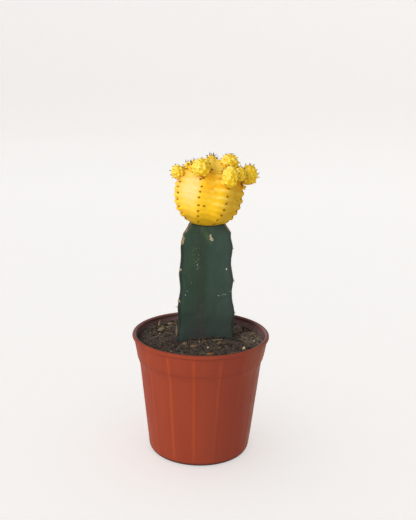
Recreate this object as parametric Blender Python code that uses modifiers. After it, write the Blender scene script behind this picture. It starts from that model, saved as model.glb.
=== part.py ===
"""Potted moon cactus: a yellow moon cactus with its offsets, grafted on a three-ribbed
rootstock that grows in a small moulded nursery pot.

Units are metres and +Z is up. The origin is the middle of the pot's foot, at table level.
Azimuths are degrees from +X towards +Y, so the front of the plant faces -90.
Every touching pair of pieces keeps a clearance of GAP.
"""
import math
import random

import bmesh
import bpy
from mathutils import Matrix, Vector

MM = 0.001
TAU = 2.0 * math.pi
GAP = 0.3 * MM
MERGE = 0.001 * MM
ROUNDING = 1e-6

# ---------------------------------------------------------------- driving dimensions

# Pot: a thin injection-moulded nursery pot with a collar under its lip.
POT_HEIGHT = 75.5 * MM
RIM_RADIUS = 42.5 * MM
WALL = 1.0 * MM
LIP_BEAD = 1.25 * MM            # radius of the rounded lip
COLLAR_TOP_RADIUS = 41.4 * MM
COLLAR_FOOT_RADIUS = 39.15 * MM
COLLAR_HEIGHT = 15.6 * MM       # from the rim down to the foot of the collar
COLLAR_STEP = 1.9 * MM          # height of the slope that steps in under the collar
BODY_TOP_RADIUS = 37.87 * MM
BODY_FOOT_RADIUS = 31.9 * MM
FOOT_RADIUS = 29.8 * MM         # outer edge of the flat ring that the pot stands on
FOOT_RING = 1.8 * MM            # width of that ring
FLOOR_UNDERSIDE = 2.2 * MM      # the floor is raised above the table
FLOOR_THICKNESS = 1.2 * MM
FLOOR_CORNER = 1.0 * MM         # chamfer between the floor and the wall, inside
FLOOR_CORNER_RISE = 1.6 * MM
FOOT_CURVE = 4.0 * MM           # height of the rounding between the foot and the body
FOOT_RING_SLOPE = 0.4 * MM      # draft of the foot ring's inner side
DRAIN_HOLES = 6
DRAIN_RADIUS = 3.5 * MM
DRAIN_CIRCLE = 19.0 * MM
POT_STEPS = 64

# Rootstock: a cut length of three-ribbed stem, set two centimetres deep.
STEM_X = 0.9 * MM
STEM_Y = 5.5 * MM
STEM_FOOT = 50.0 * MM
STEM_TOP = 144.0 * MM
BEVEL_START = 138.6 * MM        # above this the grower has pared the ribs back
VALLEY_RADIUS = 10.2 * MM
RIB_HALF_WIDTH = 2.3 * MM
AREOLE_SPACING = 20.5 * MM      # height from one areole to the next along a rib
AREOLE_SWELL = 1.2 * MM         # the crest stands out this much more at an areole than between
PLANTED_TAPER = 7.0 * MM        # the buried end narrows over this height
PLANTED_SHARE = 0.55            # width of the buried end as a share of the stem's
# Each rib: azimuth, reach at the soil, where paring starts, and at the cut, and the height
# of one of its areoles.
RIBS = (
    (-135.0, 21.1 * MM, 18.5 * MM, 9.9 * MM, 93.8 * MM),
    (-15.0, 21.0 * MM, 17.1 * MM, 13.5 * MM, 88.8 * MM),
    (105.0, 21.0 * MM, 17.8 * MM, 12.2 * MM, 100.5 * MM),
)
# Each root: azimuth, how far out it reaches, height of its tip.
ROOTS = (
    (20.0, 19.0 * MM, 33.0 * MM),
    (80.0, 23.0 * MM, 26.0 * MM),
    (140.0, 17.0 * MM, 22.0 * MM),
    (205.0, 22.0 * MM, 30.0 * MM),
    (265.0, 18.0 * MM, 19.0 * MM),
    (320.0, 21.0 * MM, 24.0 * MM),
)
ROOT_THICK = 1.5 * MM
ROOT_THIN = 0.6 * MM
ROOT_SIDES = 8

# Soil: its mean level at the pot's axis, heaped against the stem.
SOIL_LEVEL = 70.6 * MM
SOIL_RINGS = (4.0, 9.0, 14.0, 19.0, 24.0, 29.0, 34.0)   # mm from the pot's axis
SOIL_STEPS = 48
SOIL_DIP = 1.2 * MM             # the surface falls at most this far below SOIL_LEVEL
MOUND_RISE = 2.2                # mm the soil is heaped against the stem
MOUND_REACH = 25.0              # mm from the stem at which the heap has mostly died away
SOIL_FALL = 0.018               # slope of the surface, down towards +X

# Scion: the yellow ball, cut flat underneath where it is grafted.
BALL = Vector((3.0 * MM, 5.5 * MM, 162.2 * MM))
BALL_RADIUS = 20.8 * MM
BALL_RIBS = 8
BALL_RIB_TURN = -103.0          # azimuth of the rib that faces the front
BALL_VALLEY = 2.0 * MM          # depth of the furrow between two ribs
GRAFT_RADIUS = 9.4 * MM         # radius of the flat cut face
CUT_ELEVATION = -63.0           # rings below this elevation, in degrees, lie on the cut face
BALL_SECTORS = 48
BALL_RINGS = 20

# Offsets: azimuth, elevation and distance of each one's middle, seen from the ball's middle,
# then its half-width, its half-length, and how far its tip leans from outward to upright.
OFFSETS = {
    "offset_left": (-161.0, 34.0, 23.4, 4.3, 4.6, 0.3),
    "offset_left_rear": (146.0, 41.0, 22.8, 3.3, 3.5, 0.3),
    "offset_front": (-108.5, 47.0, 24.4, 5.1, 5.3, 0.5),
    "offset_crown_right": (-16.5, 55.5, 23.4, 5.1, 5.2, 0.6),
    "offset_front_right": (-56.0, 31.0, 24.6, 5.1, 6.4, 0.9),
    "offset_right": (-24.0, 31.5, 23.5, 4.3, 5.0, 0.6),
    "offset_far_right": (1.5, 24.4, 26.6, 4.8, 6.3, 0.9),
    "offset_bud": (-13.0, 13.1, 21.1, 1.6, 2.1, 0.2),
    "offset_rear_right": (37.0, 34.0, 24.0, 4.6, 4.8, 0.4),
    "offset_rear": (78.0, 30.0, 24.4, 5.0, 5.3, 0.5),
    "offset_rear_left": (116.0, 33.0, 23.8, 4.4, 4.6, 0.4),
    "offset_crown_rear": (84.0, 58.0, 22.2, 3.6, 3.7, 0.6),
    "offset_low_left": (135.0, 4.0, 22.4, 3.1, 3.4, 0.5),
    "offset_low_right": (54.0, 6.0, 22.2, 2.9, 3.1, 0.5),
}
OFFSET_RIBS = 8
OFFSET_VALLEY = 0.10            # furrow depth as a share of the offset's half-width
NECK_EXTRA = 1.2 * MM           # an offset's neck reaches this far into the parent ball
OFFSET_SECTORS = 16
OFFSET_RINGS = 10

# Loose bits on the soil, each with its lower part sunk in it.
CHIP_RISE = 0.38                # middle of a tilted chip over the soil, as a share of its length
CHIP_LIFT = 0.25                # middle of a flat chip over the soil, as a share of its thickness
GRAIN_LIFT = 0.35               # middle of a grain over the soil, as a share of its radius
BED_FIT = 1.3                   # a coarse bed grows by this many gaps, to clear its corners
CHIP_BED_FIT = 2.0
# Chips: x, y, length, width, thickness, turn, pitch (mm and degrees).
CHIPS = (
    (-14.9, -0.4, 6.6, 1.4, 0.9, 70.0, 82.0),
    (-25.2, 11.2, 4.4, 2.8, 1.7, 15.0, 8.0),
    (-27.0, 19.8, 4.8, 1.1, 0.9, 40.0, 74.0),
    (-20.6, 24.4, 3.8, 2.6, 1.5, -20.0, 6.0),
    (-9.4, -13.4, 3.3, 2.3, 1.6, 35.0, 10.0),
    (-4.0, -16.2, 4.8, 1.8, 1.2, -6.0, 4.0),
    (2.4, -9.4, 2.8, 1.8, 1.3, 25.0, 5.0),
    (11.6, -10.2, 2.9, 2.0, 1.3, 50.0, 8.0),
    (6.2, -25.8, 4.9, 2.7, 1.0, 12.0, 3.0),
    (33.0, 12.0, 5.2, 3.1, 1.3, 20.0, 6.0),
    (28.0, -2.6, 3.4, 1.5, 1.1, -10.0, 4.0),
)
# Perlite: x, y, radius (mm).
PERLITE = (
    (-25.8, 5.8, 0.9),
    (-21.8, 18.6, 0.9),
    (-0.6, -10.6, 0.8),
    (4.6, -17.4, 1.2),
    (26.6, -14.6, 1.5),
    (33.4, -0.6, 1.1),
    (36.4, 5.6, 1.2),
)
# Straws: the points that each stalk passes through, as x, y and height over the soil (mm).
STRAWS = (
    ((7.2, -7.6, 0.1), (10.0, -7.0, 0.5), (13.4, -6.2, 0.8)),
    ((25.0, 19.6, -0.4), (25.6, 19.2, 2.4), (27.4, 18.6, 4.2), (29.4, 18.4, 4.6)),
    ((22.6, 10.4, -0.6), (22.9, 10.0, 2.2), (22.7, 9.4, 4.6)),
)
STRAW_RADIUS = 0.35 * MM
STRAW_SIDES = 6

# Colour (linear RGB) and roughness of each material.
FINISHES = {
    "terracotta_plastic": ((0.38, 0.070, 0.028), 0.42),
    "potting_soil": ((0.050, 0.038, 0.029), 0.95),
    "rootstock_skin": ((0.038, 0.068, 0.046), 0.50),
    "yellow_cactus": ((0.95, 0.56, 0.045), 0.50),
    "bark": ((0.26, 0.14, 0.065), 0.85),
    "perlite": ((0.72, 0.66, 0.56), 0.85),
    "straw": ((0.42, 0.33, 0.20), 0.75),
}


# ---------------------------------------------------------------- scene and helpers

def clear_scene():
    """Start from an empty scene."""
    for leftover in list(bpy.data.objects):
        bpy.data.objects.remove(leftover, do_unlink=True)


def new_collection(name):
    collection = bpy.data.collections.new(name)
    bpy.context.scene.collection.children.link(collection)
    return collection


def new_material(name):
    """A Principled material with the named finish."""
    colour, roughness = FINISHES[name]
    material = bpy.data.materials.new(name)
    material.use_nodes = True
    shader = material.node_tree.nodes["Principled BSDF"]
    shader.inputs["Base Color"].default_value = (*colour, 1.0)
    shader.inputs["Roughness"].default_value = roughness
    material.diffuse_color = (*colour, 1.0)
    return material


def add_object(name, mesh, home, material=None):
    """Wrap a mesh in an object and put it in its collection."""
    piece = bpy.data.objects.new(name, mesh)
    home.objects.link(piece)
    if material is not None:
        mesh.materials.append(material)
    return piece


def mark_cutter(piece):
    """Cutters are construction only: wire in the viewport, absent from the model."""
    piece.hide_render = True
    piece.display_type = "WIRE"
    return piece


def shade_round(mesh, angle=35.0):
    mesh.shade_smooth()
    mesh.set_sharp_from_angle(angle=math.radians(angle))


def mesh_from(name, bm):
    """Write a bmesh to a new mesh, faces outward."""
    bmesh.ops.recalc_face_normals(bm, faces=bm.faces)
    mesh = bpy.data.meshes.new(name)
    bm.to_mesh(mesh)
    bm.free()
    return mesh


def outline_mesh(name, outline):
    """A chain of edges in the XZ plane, from (radius, height) points."""
    mesh = bpy.data.meshes.new(name)
    points = [(radius, 0.0, height) for radius, height in outline]
    chain = [(i, i + 1) for i in range(len(points) - 1)]
    mesh.from_pydata(points, chain, [])
    return mesh


def turned(name, outline, steps, home, material=None):
    """A solid turned about Z from an outline that runs down its outer side."""
    piece = add_object(name, outline_mesh(name, outline), home, material)
    screw = piece.modifiers.new("turn", "SCREW")
    screw.steps = steps
    screw.render_steps = steps
    screw.use_merge_vertices = True
    screw.merge_threshold = MERGE
    screw.use_smooth_shade = True
    return piece


def baked(piece):
    """Replace an object by a plain mesh object of what its modifiers make."""
    graph = bpy.context.evaluated_depsgraph_get()
    mesh = bpy.data.meshes.new_from_object(piece.evaluated_get(graph))
    home = piece.users_collection[0]
    name = piece.name
    matrix = piece.matrix_world.copy()
    bpy.data.objects.remove(piece, do_unlink=True)
    mesh.name = name
    plain = bpy.data.objects.new(name, mesh)
    plain.matrix_world = matrix
    home.objects.link(plain)
    return plain


def combine(piece, operation, other):
    """Add an EXACT Boolean with one object or with a whole collection."""
    step = piece.modifiers.new(operation.lower(), "BOOLEAN")
    step.operation = operation
    step.solver = "EXACT"
    if isinstance(other, bpy.types.Collection):
        step.operand_type = "COLLECTION"
        step.collection = other
    else:
        step.object = other


def tube(name, points, radii, sides, home, material=None):
    """A closed tube along points, with a radius at each, as a mesh."""
    curve = bpy.data.curves.new(name, "CURVE")
    curve.dimensions = "3D"
    curve.bevel_depth = 1.0
    curve.bevel_resolution = sides // 2 - 2
    curve.use_fill_caps = True
    spline = curve.splines.new("POLY")
    spline.points.add(len(points) - 1)
    for node, point, radius in zip(spline.points, points, radii):
        node.co = (*point, 1.0)
        node.radius = radius
    line = bpy.data.objects.new(name, curve)
    home.objects.link(line)
    piece = baked(line)
    bm = bmesh.new()
    bm.from_mesh(piece.data)
    bmesh.ops.remove_doubles(bm, verts=bm.verts, dist=MERGE)
    bmesh.ops.recalc_face_normals(bm, faces=bm.faces)
    bm.to_mesh(piece.data)
    bm.free()
    piece.data.materials.clear()
    if material is not None:
        piece.data.materials.append(material)
    return piece


def smooth_path(knots, steps):
    """Points along a Catmull-Rom curve through the knots."""
    padded = [knots[0] * 2 - knots[1], *knots, knots[-1] * 2 - knots[-2]]
    path = []
    for a, b, c, d in zip(padded, padded[1:], padded[2:], padded[3:]):
        for step in range(steps):
            t = step / steps
            path.append(0.5 * (2 * b + (c - a) * t + (2 * a - 5 * b + 4 * c - d) * t**2
                               + (3 * b - a - 3 * c + d) * t**3))
    path.append(knots[-1])
    return path


def direction(azimuth, elevation):
    """Unit vector from an azimuth and an elevation in degrees."""
    turn = math.radians(azimuth)
    rise = math.radians(elevation)
    return Vector((math.cos(rise) * math.cos(turn), math.cos(rise) * math.sin(turn), math.sin(rise)))


def smoothstep(value):
    value = min(max(value, 0.0), 1.0)
    return value * value * (3.0 - 2.0 * value)


# ---------------------------------------------------------------- pot

COLLAR_FOOT = POT_HEIGHT - COLLAR_HEIGHT
BODY_TOP = COLLAR_FOOT - COLLAR_STEP
LIP_FOOT = POT_HEIGHT - 2.0 * LIP_BEAD
FLOOR_TOP = FLOOR_UNDERSIDE + FLOOR_THICKNESS


def outer_stations():
    """Radius and height down the outside of the pot, below its lip."""
    slope = COLLAR_FOOT_RADIUS - BODY_TOP_RADIUS
    stations = [
        (COLLAR_TOP_RADIUS, LIP_FOOT),
        (COLLAR_FOOT_RADIUS, COLLAR_FOOT),
        (COLLAR_FOOT_RADIUS - 0.2 * slope, COLLAR_FOOT - 0.35 * COLLAR_STEP),
        (BODY_TOP_RADIUS + 0.2 * slope, COLLAR_FOOT - 0.70 * COLLAR_STEP),
        (BODY_TOP_RADIUS, BODY_TOP),
    ]
    for step in range(5):
        angle = 0.5 * math.pi * step / 4
        radius = FOOT_RADIUS + (BODY_FOOT_RADIUS - FOOT_RADIUS) * math.cos(angle)
        stations.append((radius, FOOT_CURVE * (1.0 - math.sin(angle))))
    return stations


def inner_radius(height):
    """Radius of the pot's inner wall at a height above its floor."""
    stations = outer_stations()
    for (r_high, z_high), (r_low, z_low) in zip(stations, stations[1:]):
        if z_low <= height <= z_high:
            share = (height - z_low) / (z_high - z_low)
            return r_low + (r_high - r_low) * share - WALL
    return COLLAR_TOP_RADIUS - WALL


def lip_arc():
    """The rounded lip, from its inner side over the top to its outer side."""
    middle = RIM_RADIUS - LIP_BEAD
    arc = []
    for step in range(10):
        angle = math.radians(210.0 - 30.0 * step)
        arc.append((middle + LIP_BEAD * math.cos(angle),
                    POT_HEIGHT - LIP_BEAD + LIP_BEAD * math.sin(angle)))
    return arc


def build_pot(home, cutters, material):
    """A turned shell with its drain holes cut through the raised floor."""
    inner_heights = (FLOOR_TOP + FLOOR_CORNER_RISE, BODY_TOP, COLLAR_FOOT, LIP_FOOT)
    outline = [(0.0, FLOOR_TOP), (inner_radius(FLOOR_TOP) - FLOOR_CORNER, FLOOR_TOP)]
    outline += [(inner_radius(height), height) for height in inner_heights]
    outline += lip_arc()
    outline += outer_stations()
    outline += [(FOOT_RADIUS - FOOT_RING, 0.0),
                (FOOT_RADIUS - FOOT_RING - FOOT_RING_SLOPE, FLOOR_UNDERSIDE),
                (0.0, FLOOR_UNDERSIDE)]
    pot = turned("pot", outline, POT_STEPS, home, material)
    drains = bpy.data.collections.new("drain_cutters")
    cutters.children.link(drains)
    for number in range(DRAIN_HOLES):
        place = direction(360.0 * number / DRAIN_HOLES, 0.0) * DRAIN_CIRCLE
        bm = bmesh.new()
        bmesh.ops.create_cone(bm, cap_ends=True, segments=20, radius1=DRAIN_RADIUS,
                              radius2=DRAIN_RADIUS, depth=4.0 * FLOOR_THICKNESS)
        place.z = FLOOR_UNDERSIDE + 0.5 * FLOOR_THICKNESS
        bmesh.ops.translate(bm, verts=bm.verts, vec=place)
        name = f"drain_cutter_{number + 1}"
        mark_cutter(add_object(name, mesh_from(name, bm), drains))
    combine(pot, "DIFFERENCE", drains)
    return pot


# ---------------------------------------------------------------- rootstock

CREST_ARC = (-70.0, -35.0, 0.0, 35.0, 70.0)     # points round a rib's crest, in degrees
SECTION_POINTS = 3 * (len(CREST_ARC) + 5)


def rib_reach(rib, height):
    """How far a rib's crest stands from the stem's axis at a height."""
    _, soil_reach, top_reach, cut_reach, areole = rib
    share = (height - SOIL_LEVEL) / (BEVEL_START - SOIL_LEVEL)
    reach = soil_reach + (top_reach - soil_reach) * min(max(share, 0.0), 1.0)
    reach += 0.5 * AREOLE_SWELL * math.cos(TAU * (height - areole) / AREOLE_SPACING)
    if height > BEVEL_START:
        pared = (height - BEVEL_START) / (STEM_TOP - BEVEL_START)
        reach += (cut_reach - reach) * pared
    return reach


def crest_points(rib, height, shrink, extra):
    """Points round one rib's rounded crest."""
    half = RIB_HALF_WIDTH * shrink
    centre = rib_reach(rib, height) * shrink - half
    points = []
    for degrees in CREST_ARC:
        spot = direction(degrees, 0.0) * (half + extra) + Vector((centre, 0.0, 0.0))
        points.append(Matrix.Rotation(math.radians(rib[0]), 3, "Z") @ spot)
    return points


def stem_section(height, extra):
    """Outline of the stem at a height, grown outward by extra: crests joined by shallow valleys."""
    shrink = PLANTED_SHARE + (1.0 - PLANTED_SHARE) * smoothstep((height - STEM_FOOT) / PLANTED_TAPER)
    crests = [crest_points(rib, height, shrink, extra) for rib in RIBS]
    outline = []
    for number, rib in enumerate(RIBS):
        valley = direction(rib[0] + 60.0, 0.0) * (VALLEY_RADIUS * shrink + extra)
        outline += crests[number]
        for share in (1.0 / 3.0, 2.0 / 3.0, 1.0):
            outline.append(crests[number][-1].lerp(valley, share))
        following = crests[(number + 1) % len(RIBS)][0]
        for share in (1.0 / 3.0, 2.0 / 3.0):
            outline.append(valley.lerp(following, share))
    return outline


def stem_heights():
    """Heights of the rings that shape the stem: close at its foot, then six to an areole."""
    heights = [STEM_FOOT + PLANTED_TAPER * share for share in (0.2, 0.5, 1.0)]
    pitch = AREOLE_SPACING / 6.0
    while heights[-1] + pitch < BEVEL_START:
        heights.append(heights[-1] + pitch)
    return heights + [BEVEL_START]


def build_stem(name, extra, home, material=None):
    """A capped cylinder with a ring at each height, each ring moved to the stem's outline."""
    low = STEM_FOOT - extra
    high = STEM_TOP + extra
    bm = bmesh.new()
    bmesh.ops.create_cone(bm, cap_ends=True, segments=SECTION_POINTS, radius1=VALLEY_RADIUS,
                          radius2=VALLEY_RADIUS, depth=high - low)
    bmesh.ops.translate(bm, verts=bm.verts, vec=(0.0, 0.0, 0.5 * (low + high)))
    for height in stem_heights():
        bmesh.ops.bisect_plane(bm, geom=bm.verts[:] + bm.edges[:] + bm.faces[:],
                               plane_co=(0.0, 0.0, height), plane_no=(0.0, 0.0, 1.0))
    outlines = {}
    for vert in bm.verts:
        height = vert.co.z
        key = round(height / MERGE)
        if key not in outlines:
            outlines[key] = stem_section(min(max(height, STEM_FOOT), STEM_TOP), extra)
        number = round(math.atan2(vert.co.y, vert.co.x) / TAU * SECTION_POINTS) % SECTION_POINTS
        spot = outlines[key][number]
        vert.co = (STEM_X + spot.x, STEM_Y + spot.y, height)
    mesh = mesh_from(name, bm)
    shade_round(mesh)
    return add_object(name, mesh, home, material)


def root_route(azimuth, reach, tip):
    """A root leaves the stem's buried end, spreads and turns down."""
    out = direction(azimuth, 0.0)
    axis = Vector((STEM_X, STEM_Y, 0.0))
    knots = [axis + out * (0.15 * reach) + Vector((0.0, 0.0, STEM_FOOT + 5.0 * MM)),
             axis + out * (0.45 * reach) + Vector((0.0, 0.0, STEM_FOOT - 2.0 * MM)),
             axis + out * (0.80 * reach) + Vector((0.0, 0.0, 0.45 * STEM_FOOT + 0.55 * tip)),
             axis + out * reach + Vector((0.0, 0.0, tip))]
    return smooth_path(knots, 2)


def build_rootstock(name, extra, home, cutters, material=None):
    """The stem with its main roots, all one living piece; extra makes the bed it lies in."""
    stem = build_stem(name, extra, home, material)
    for number, (azimuth, reach, tip) in enumerate(ROOTS):
        route = root_route(azimuth, reach, tip)
        radii = [ROOT_THICK + (ROOT_THIN - ROOT_THICK) * step / (len(route) - 1) + extra
                 for step in range(len(route))]
        if extra:
            last = (route[-1] - route[-2]).normalized()
            route[-1] = route[-1] + last * extra
        root = mark_cutter(tube(f"{name}_root_{number + 1}", route, radii, ROOT_SIDES, cutters))
        combine(stem, "UNION", root)
    return stem


# ---------------------------------------------------------------- soil

def soil_height(x, y):
    """Height of the soil: a low mound at the stem, a slight fall to the right, small lumps."""
    from_stem = math.hypot(x - STEM_X, y - STEM_Y) / MM
    mound = MOUND_RISE * math.exp(-((from_stem / MOUND_REACH) ** 4))
    fall = -SOIL_FALL * x / MM
    lumps = 0.28 * math.sin(0.42 * x / MM + 1.3) * math.cos(0.37 * y / MM - 0.6)
    lumps += 0.14 * math.sin(0.83 * x / MM - 0.71 * y / MM)
    return SOIL_LEVEL + (mound + fall + lumps) * MM


def build_soil(home, beds, material):
    """Soil fills the pot to just under the lip, less the bed that each piece in it lies in."""
    side_heights = (FLOOR_TOP + FLOOR_CORNER_RISE, BODY_TOP, COLLAR_FOOT)
    floor = FLOOR_TOP + GAP
    outline = [(0.0, SOIL_LEVEL)]
    outline += [(ring * MM, SOIL_LEVEL) for ring in SOIL_RINGS]
    outline += [(inner_radius(SOIL_LEVEL - SOIL_DIP) - GAP, SOIL_LEVEL)]
    outline += [(inner_radius(height) - GAP, height) for height in reversed(side_heights)]
    outline += [(inner_radius(FLOOR_TOP) - FLOOR_CORNER - 2.0 * GAP, floor), (0.0, floor)]
    soil = baked(turned("soil", outline, SOIL_STEPS, home))
    for vert in soil.data.vertices:
        if vert.co.z > SOIL_LEVEL - 0.1 * MM:
            vert.co.z = soil_height(vert.co.x, vert.co.y)
    soil.data.materials.clear()
    soil.data.materials.append(material)
    combine(soil, "DIFFERENCE", beds)
    return soil


# ---------------------------------------------------------------- scion

def ball_reach(azimuth, elevation):
    """Radius of the ribbed ball in a direction, in radians: crests stand proud of furrows."""
    across = 0.5 + 0.5 * math.cos(BALL_RIBS * (azimuth - math.radians(BALL_RIB_TURN)))
    furrow = BALL_VALLEY * (1.0 - across ** 0.7) * math.cos(elevation) ** 0.5
    return BALL_RADIUS - furrow


def build_ball(name, extra, home, material=None):
    """A UV sphere drawn out to the ribbed ball, with its lowest rings laid on the graft's cut."""
    cut = STEM_TOP + GAP - extra
    bm = bmesh.new()
    bmesh.ops.create_uvsphere(bm, u_segments=BALL_SECTORS, v_segments=BALL_RINGS, radius=1.0)
    for vert in bm.verts:
        azimuth = math.atan2(vert.co.y, vert.co.x)
        elevation = math.asin(min(max(vert.co.z, -1.0), 1.0))
        if elevation < math.radians(CUT_ELEVATION) + ROUNDING:
            share = (90.0 + math.degrees(elevation)) / (90.0 + CUT_ELEVATION)
            radius = (GRAFT_RADIUS + extra) * share
            vert.co = (BALL.x + radius * math.cos(azimuth), BALL.y + radius * math.sin(azimuth), cut)
        else:
            vert.co = BALL + vert.co * (ball_reach(azimuth, elevation) + extra)
    mesh = mesh_from(name, bm)
    shade_round(mesh)
    return add_object(name, mesh, home, material)


def build_offset(name, extra, home, material=None):
    """A small ribbed ball that leans upright, with a neck drawn in towards the parent ball."""
    azimuth, elevation, distance, half_width, half_length, lean = OFFSETS[name.split("-")[0]]
    outward = direction(azimuth, elevation)
    place = BALL + outward * distance * MM
    tip = (outward * (1.0 - lean) + Vector((0.0, 0.0, lean))).normalized()
    turn = tip.to_track_quat("Z", "Y").to_matrix()
    neck = max(distance * MM - 0.9 * half_width * MM - BALL_RADIUS, 0.0) + NECK_EXTRA
    bm = bmesh.new()
    bmesh.ops.create_uvsphere(bm, u_segments=OFFSET_SECTORS, v_segments=OFFSET_RINGS, radius=1.0)
    for vert in bm.verts:
        unit = vert.co.copy()
        around = math.atan2(unit.y, unit.x)
        furrow = OFFSET_VALLEY * (0.5 - 0.5 * math.cos(OFFSET_RIBS * around))
        furrow *= math.hypot(unit.x, unit.y)
        wide = half_width * MM * (1.0 - furrow) + extra
        tall = half_length * MM * (1.0 - furrow) + extra
        local = turn @ Vector((unit.x * wide, unit.y * wide, unit.z * tall))
        inward = max(-(turn @ unit).dot(outward) - 0.6, 0.0) / 0.4
        vert.co = place + local - outward * neck * inward ** 2
    mesh = mesh_from(name, bm)
    shade_round(mesh, 50.0)
    return add_object(name, mesh, home, material)


# ---------------------------------------------------------------- loose bits

def build_chip(name, number, extra, home, material=None):
    """A splinter of bark: a box with its corners knocked about, half sunk in the soil."""
    x, y, length, width, thickness, turn, pitch = CHIPS[number]
    shuffle = random.Random(number + 1)
    bm = bmesh.new()
    bmesh.ops.create_cube(bm, size=1.0)
    for vert in bm.verts:
        sizes = (length, width, thickness)
        vert.co = [side * (size * MM * shuffle.uniform(0.78, 1.0) + CHIP_BED_FIT * extra)
                   for side, size in zip(vert.co, sizes)]
    tilt = Matrix.Rotation(math.radians(turn), 3, "Z") @ Matrix.Rotation(math.radians(-pitch), 3, "Y")
    bmesh.ops.rotate(bm, verts=bm.verts, cent=(0.0, 0.0, 0.0), matrix=tilt)
    spot = Vector((x * MM, y * MM, 0.0))
    rise = CHIP_RISE * length * math.sin(math.radians(pitch)) + CHIP_LIFT * thickness
    spot.z = soil_height(spot.x, spot.y) + rise * MM
    bmesh.ops.translate(bm, verts=bm.verts, vec=spot)
    return add_object(name, mesh_from(name, bm), home, material)


def build_perlite(name, number, extra, home, material=None):
    """A popped grain of perlite: a lumpy icosphere, a third of it sunk in the soil."""
    x, y, radius = PERLITE[number]
    shuffle = random.Random(number + 101)
    bm = bmesh.new()
    bmesh.ops.create_icosphere(bm, subdivisions=1, radius=1.0)
    for vert in bm.verts:
        vert.co *= radius * MM * shuffle.uniform(0.85, 1.1) + BED_FIT * extra
    spot = Vector((x * MM, y * MM, 0.0))
    spot.z = soil_height(spot.x, spot.y) + GRAIN_LIFT * radius * MM
    bmesh.ops.translate(bm, verts=bm.verts, vec=spot)
    return add_object(name, mesh_from(name, bm), home, material)


def build_straw(name, number, extra, home, material=None):
    """A dry stalk lying on or standing in the soil."""
    knots = [Vector((x * MM, y * MM, soil_height(x * MM, y * MM) + rise * MM))
             for x, y, rise in STRAWS[number]]
    path = smooth_path(knots, 3)
    start = (path[1] - path[0]).normalized()
    end = (path[-1] - path[-2]).normalized()
    path[0] = path[0] - start * BED_FIT * extra
    path[-1] = path[-1] + end * BED_FIT * extra
    radii = [STRAW_RADIUS + BED_FIT * extra] * len(path)
    return tube(name, path, radii, STRAW_SIDES, home, material)


# ---------------------------------------------------------------- assembly

def main():
    clear_scene()
    plant = new_collection("potted_moon_cactus")
    cutters = new_collection("cutters")
    materials = {name: new_material(name) for name in FINISHES}

    build_pot(plant, cutters, materials["terracotta_plastic"])
    build_rootstock("rootstock", 0.0, plant, cutters, materials["rootstock_skin"])
    build_ball("scion", 0.0, plant, materials["yellow_cactus"])

    ball_bed = mark_cutter(build_ball("scion-bed", GAP, cutters))
    for name in OFFSETS:
        offset = build_offset(name, 0.0, plant, materials["yellow_cactus"])
        combine(offset, "DIFFERENCE", ball_bed)

    beds = bpy.data.collections.new("soil_beds")
    cutters.children.link(beds)
    mark_cutter(build_rootstock("rootstock-bed", GAP, beds, cutters))
    groups = ((CHIPS, build_chip, "bark_chip", "bark"),
              (PERLITE, build_perlite, "perlite_grain", "perlite"),
              (STRAWS, build_straw, "straw", "straw"))
    for rows, build, name, finish in groups:
        for number in range(len(rows)):
            build(f"{name}_{number + 1}", number, 0.0, plant, materials[finish])
            mark_cutter(build(f"{name}_{number + 1}-bed", number, GAP, beds))
    build_soil(plant, beds, materials["potting_soil"])


main()
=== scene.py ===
# %% [markdown]
# # A potted moon cactus
#
# A moon cactus is two plants in one: a yellow ball that cannot feed itself, grafted on a
# three-ribbed green rootstock that feeds both. This one carries a crown of young offsets and
# stands in a small moulded nursery pot.
#
# The bodies of the plant and pot are already fixed at their real size. They are loaded first,
# and every piece made here takes its place from them. Lengths are in mm unless a line says
# otherwise, azimuths are degrees from +X towards +Y, and the front of the plant faces -90.

# %% Load the fixed bodies
import math
import random
from contextlib import contextmanager

import bpy
import numpy as np
from mathutils import Euler, Matrix, Vector


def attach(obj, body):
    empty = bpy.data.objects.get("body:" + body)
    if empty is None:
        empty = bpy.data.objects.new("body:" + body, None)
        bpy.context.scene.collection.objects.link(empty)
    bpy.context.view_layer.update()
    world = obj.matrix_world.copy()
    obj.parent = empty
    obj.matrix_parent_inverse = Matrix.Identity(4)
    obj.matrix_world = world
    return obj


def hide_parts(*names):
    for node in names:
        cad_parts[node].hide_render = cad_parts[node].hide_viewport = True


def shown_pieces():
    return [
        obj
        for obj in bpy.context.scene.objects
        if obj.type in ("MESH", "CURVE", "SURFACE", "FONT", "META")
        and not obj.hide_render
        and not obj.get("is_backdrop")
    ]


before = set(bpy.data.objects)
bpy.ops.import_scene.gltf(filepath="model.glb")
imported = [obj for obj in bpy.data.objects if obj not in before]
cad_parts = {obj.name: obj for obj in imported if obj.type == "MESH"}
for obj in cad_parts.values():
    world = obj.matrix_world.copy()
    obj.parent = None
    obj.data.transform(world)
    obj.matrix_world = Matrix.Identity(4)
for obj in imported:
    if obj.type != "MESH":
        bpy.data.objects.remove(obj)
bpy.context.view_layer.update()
MM = 0.001
TAU = 2.0 * math.pi

# %% [markdown]
# ## Camera and studio
#
# The plant is seen from a little above, as it would stand on a table. A floor that curves up
# all round into a pale wall gives no horizon from any side. One large soft lamp at the left
# front shapes the ribs, and the pale sky fills the rest.

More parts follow.
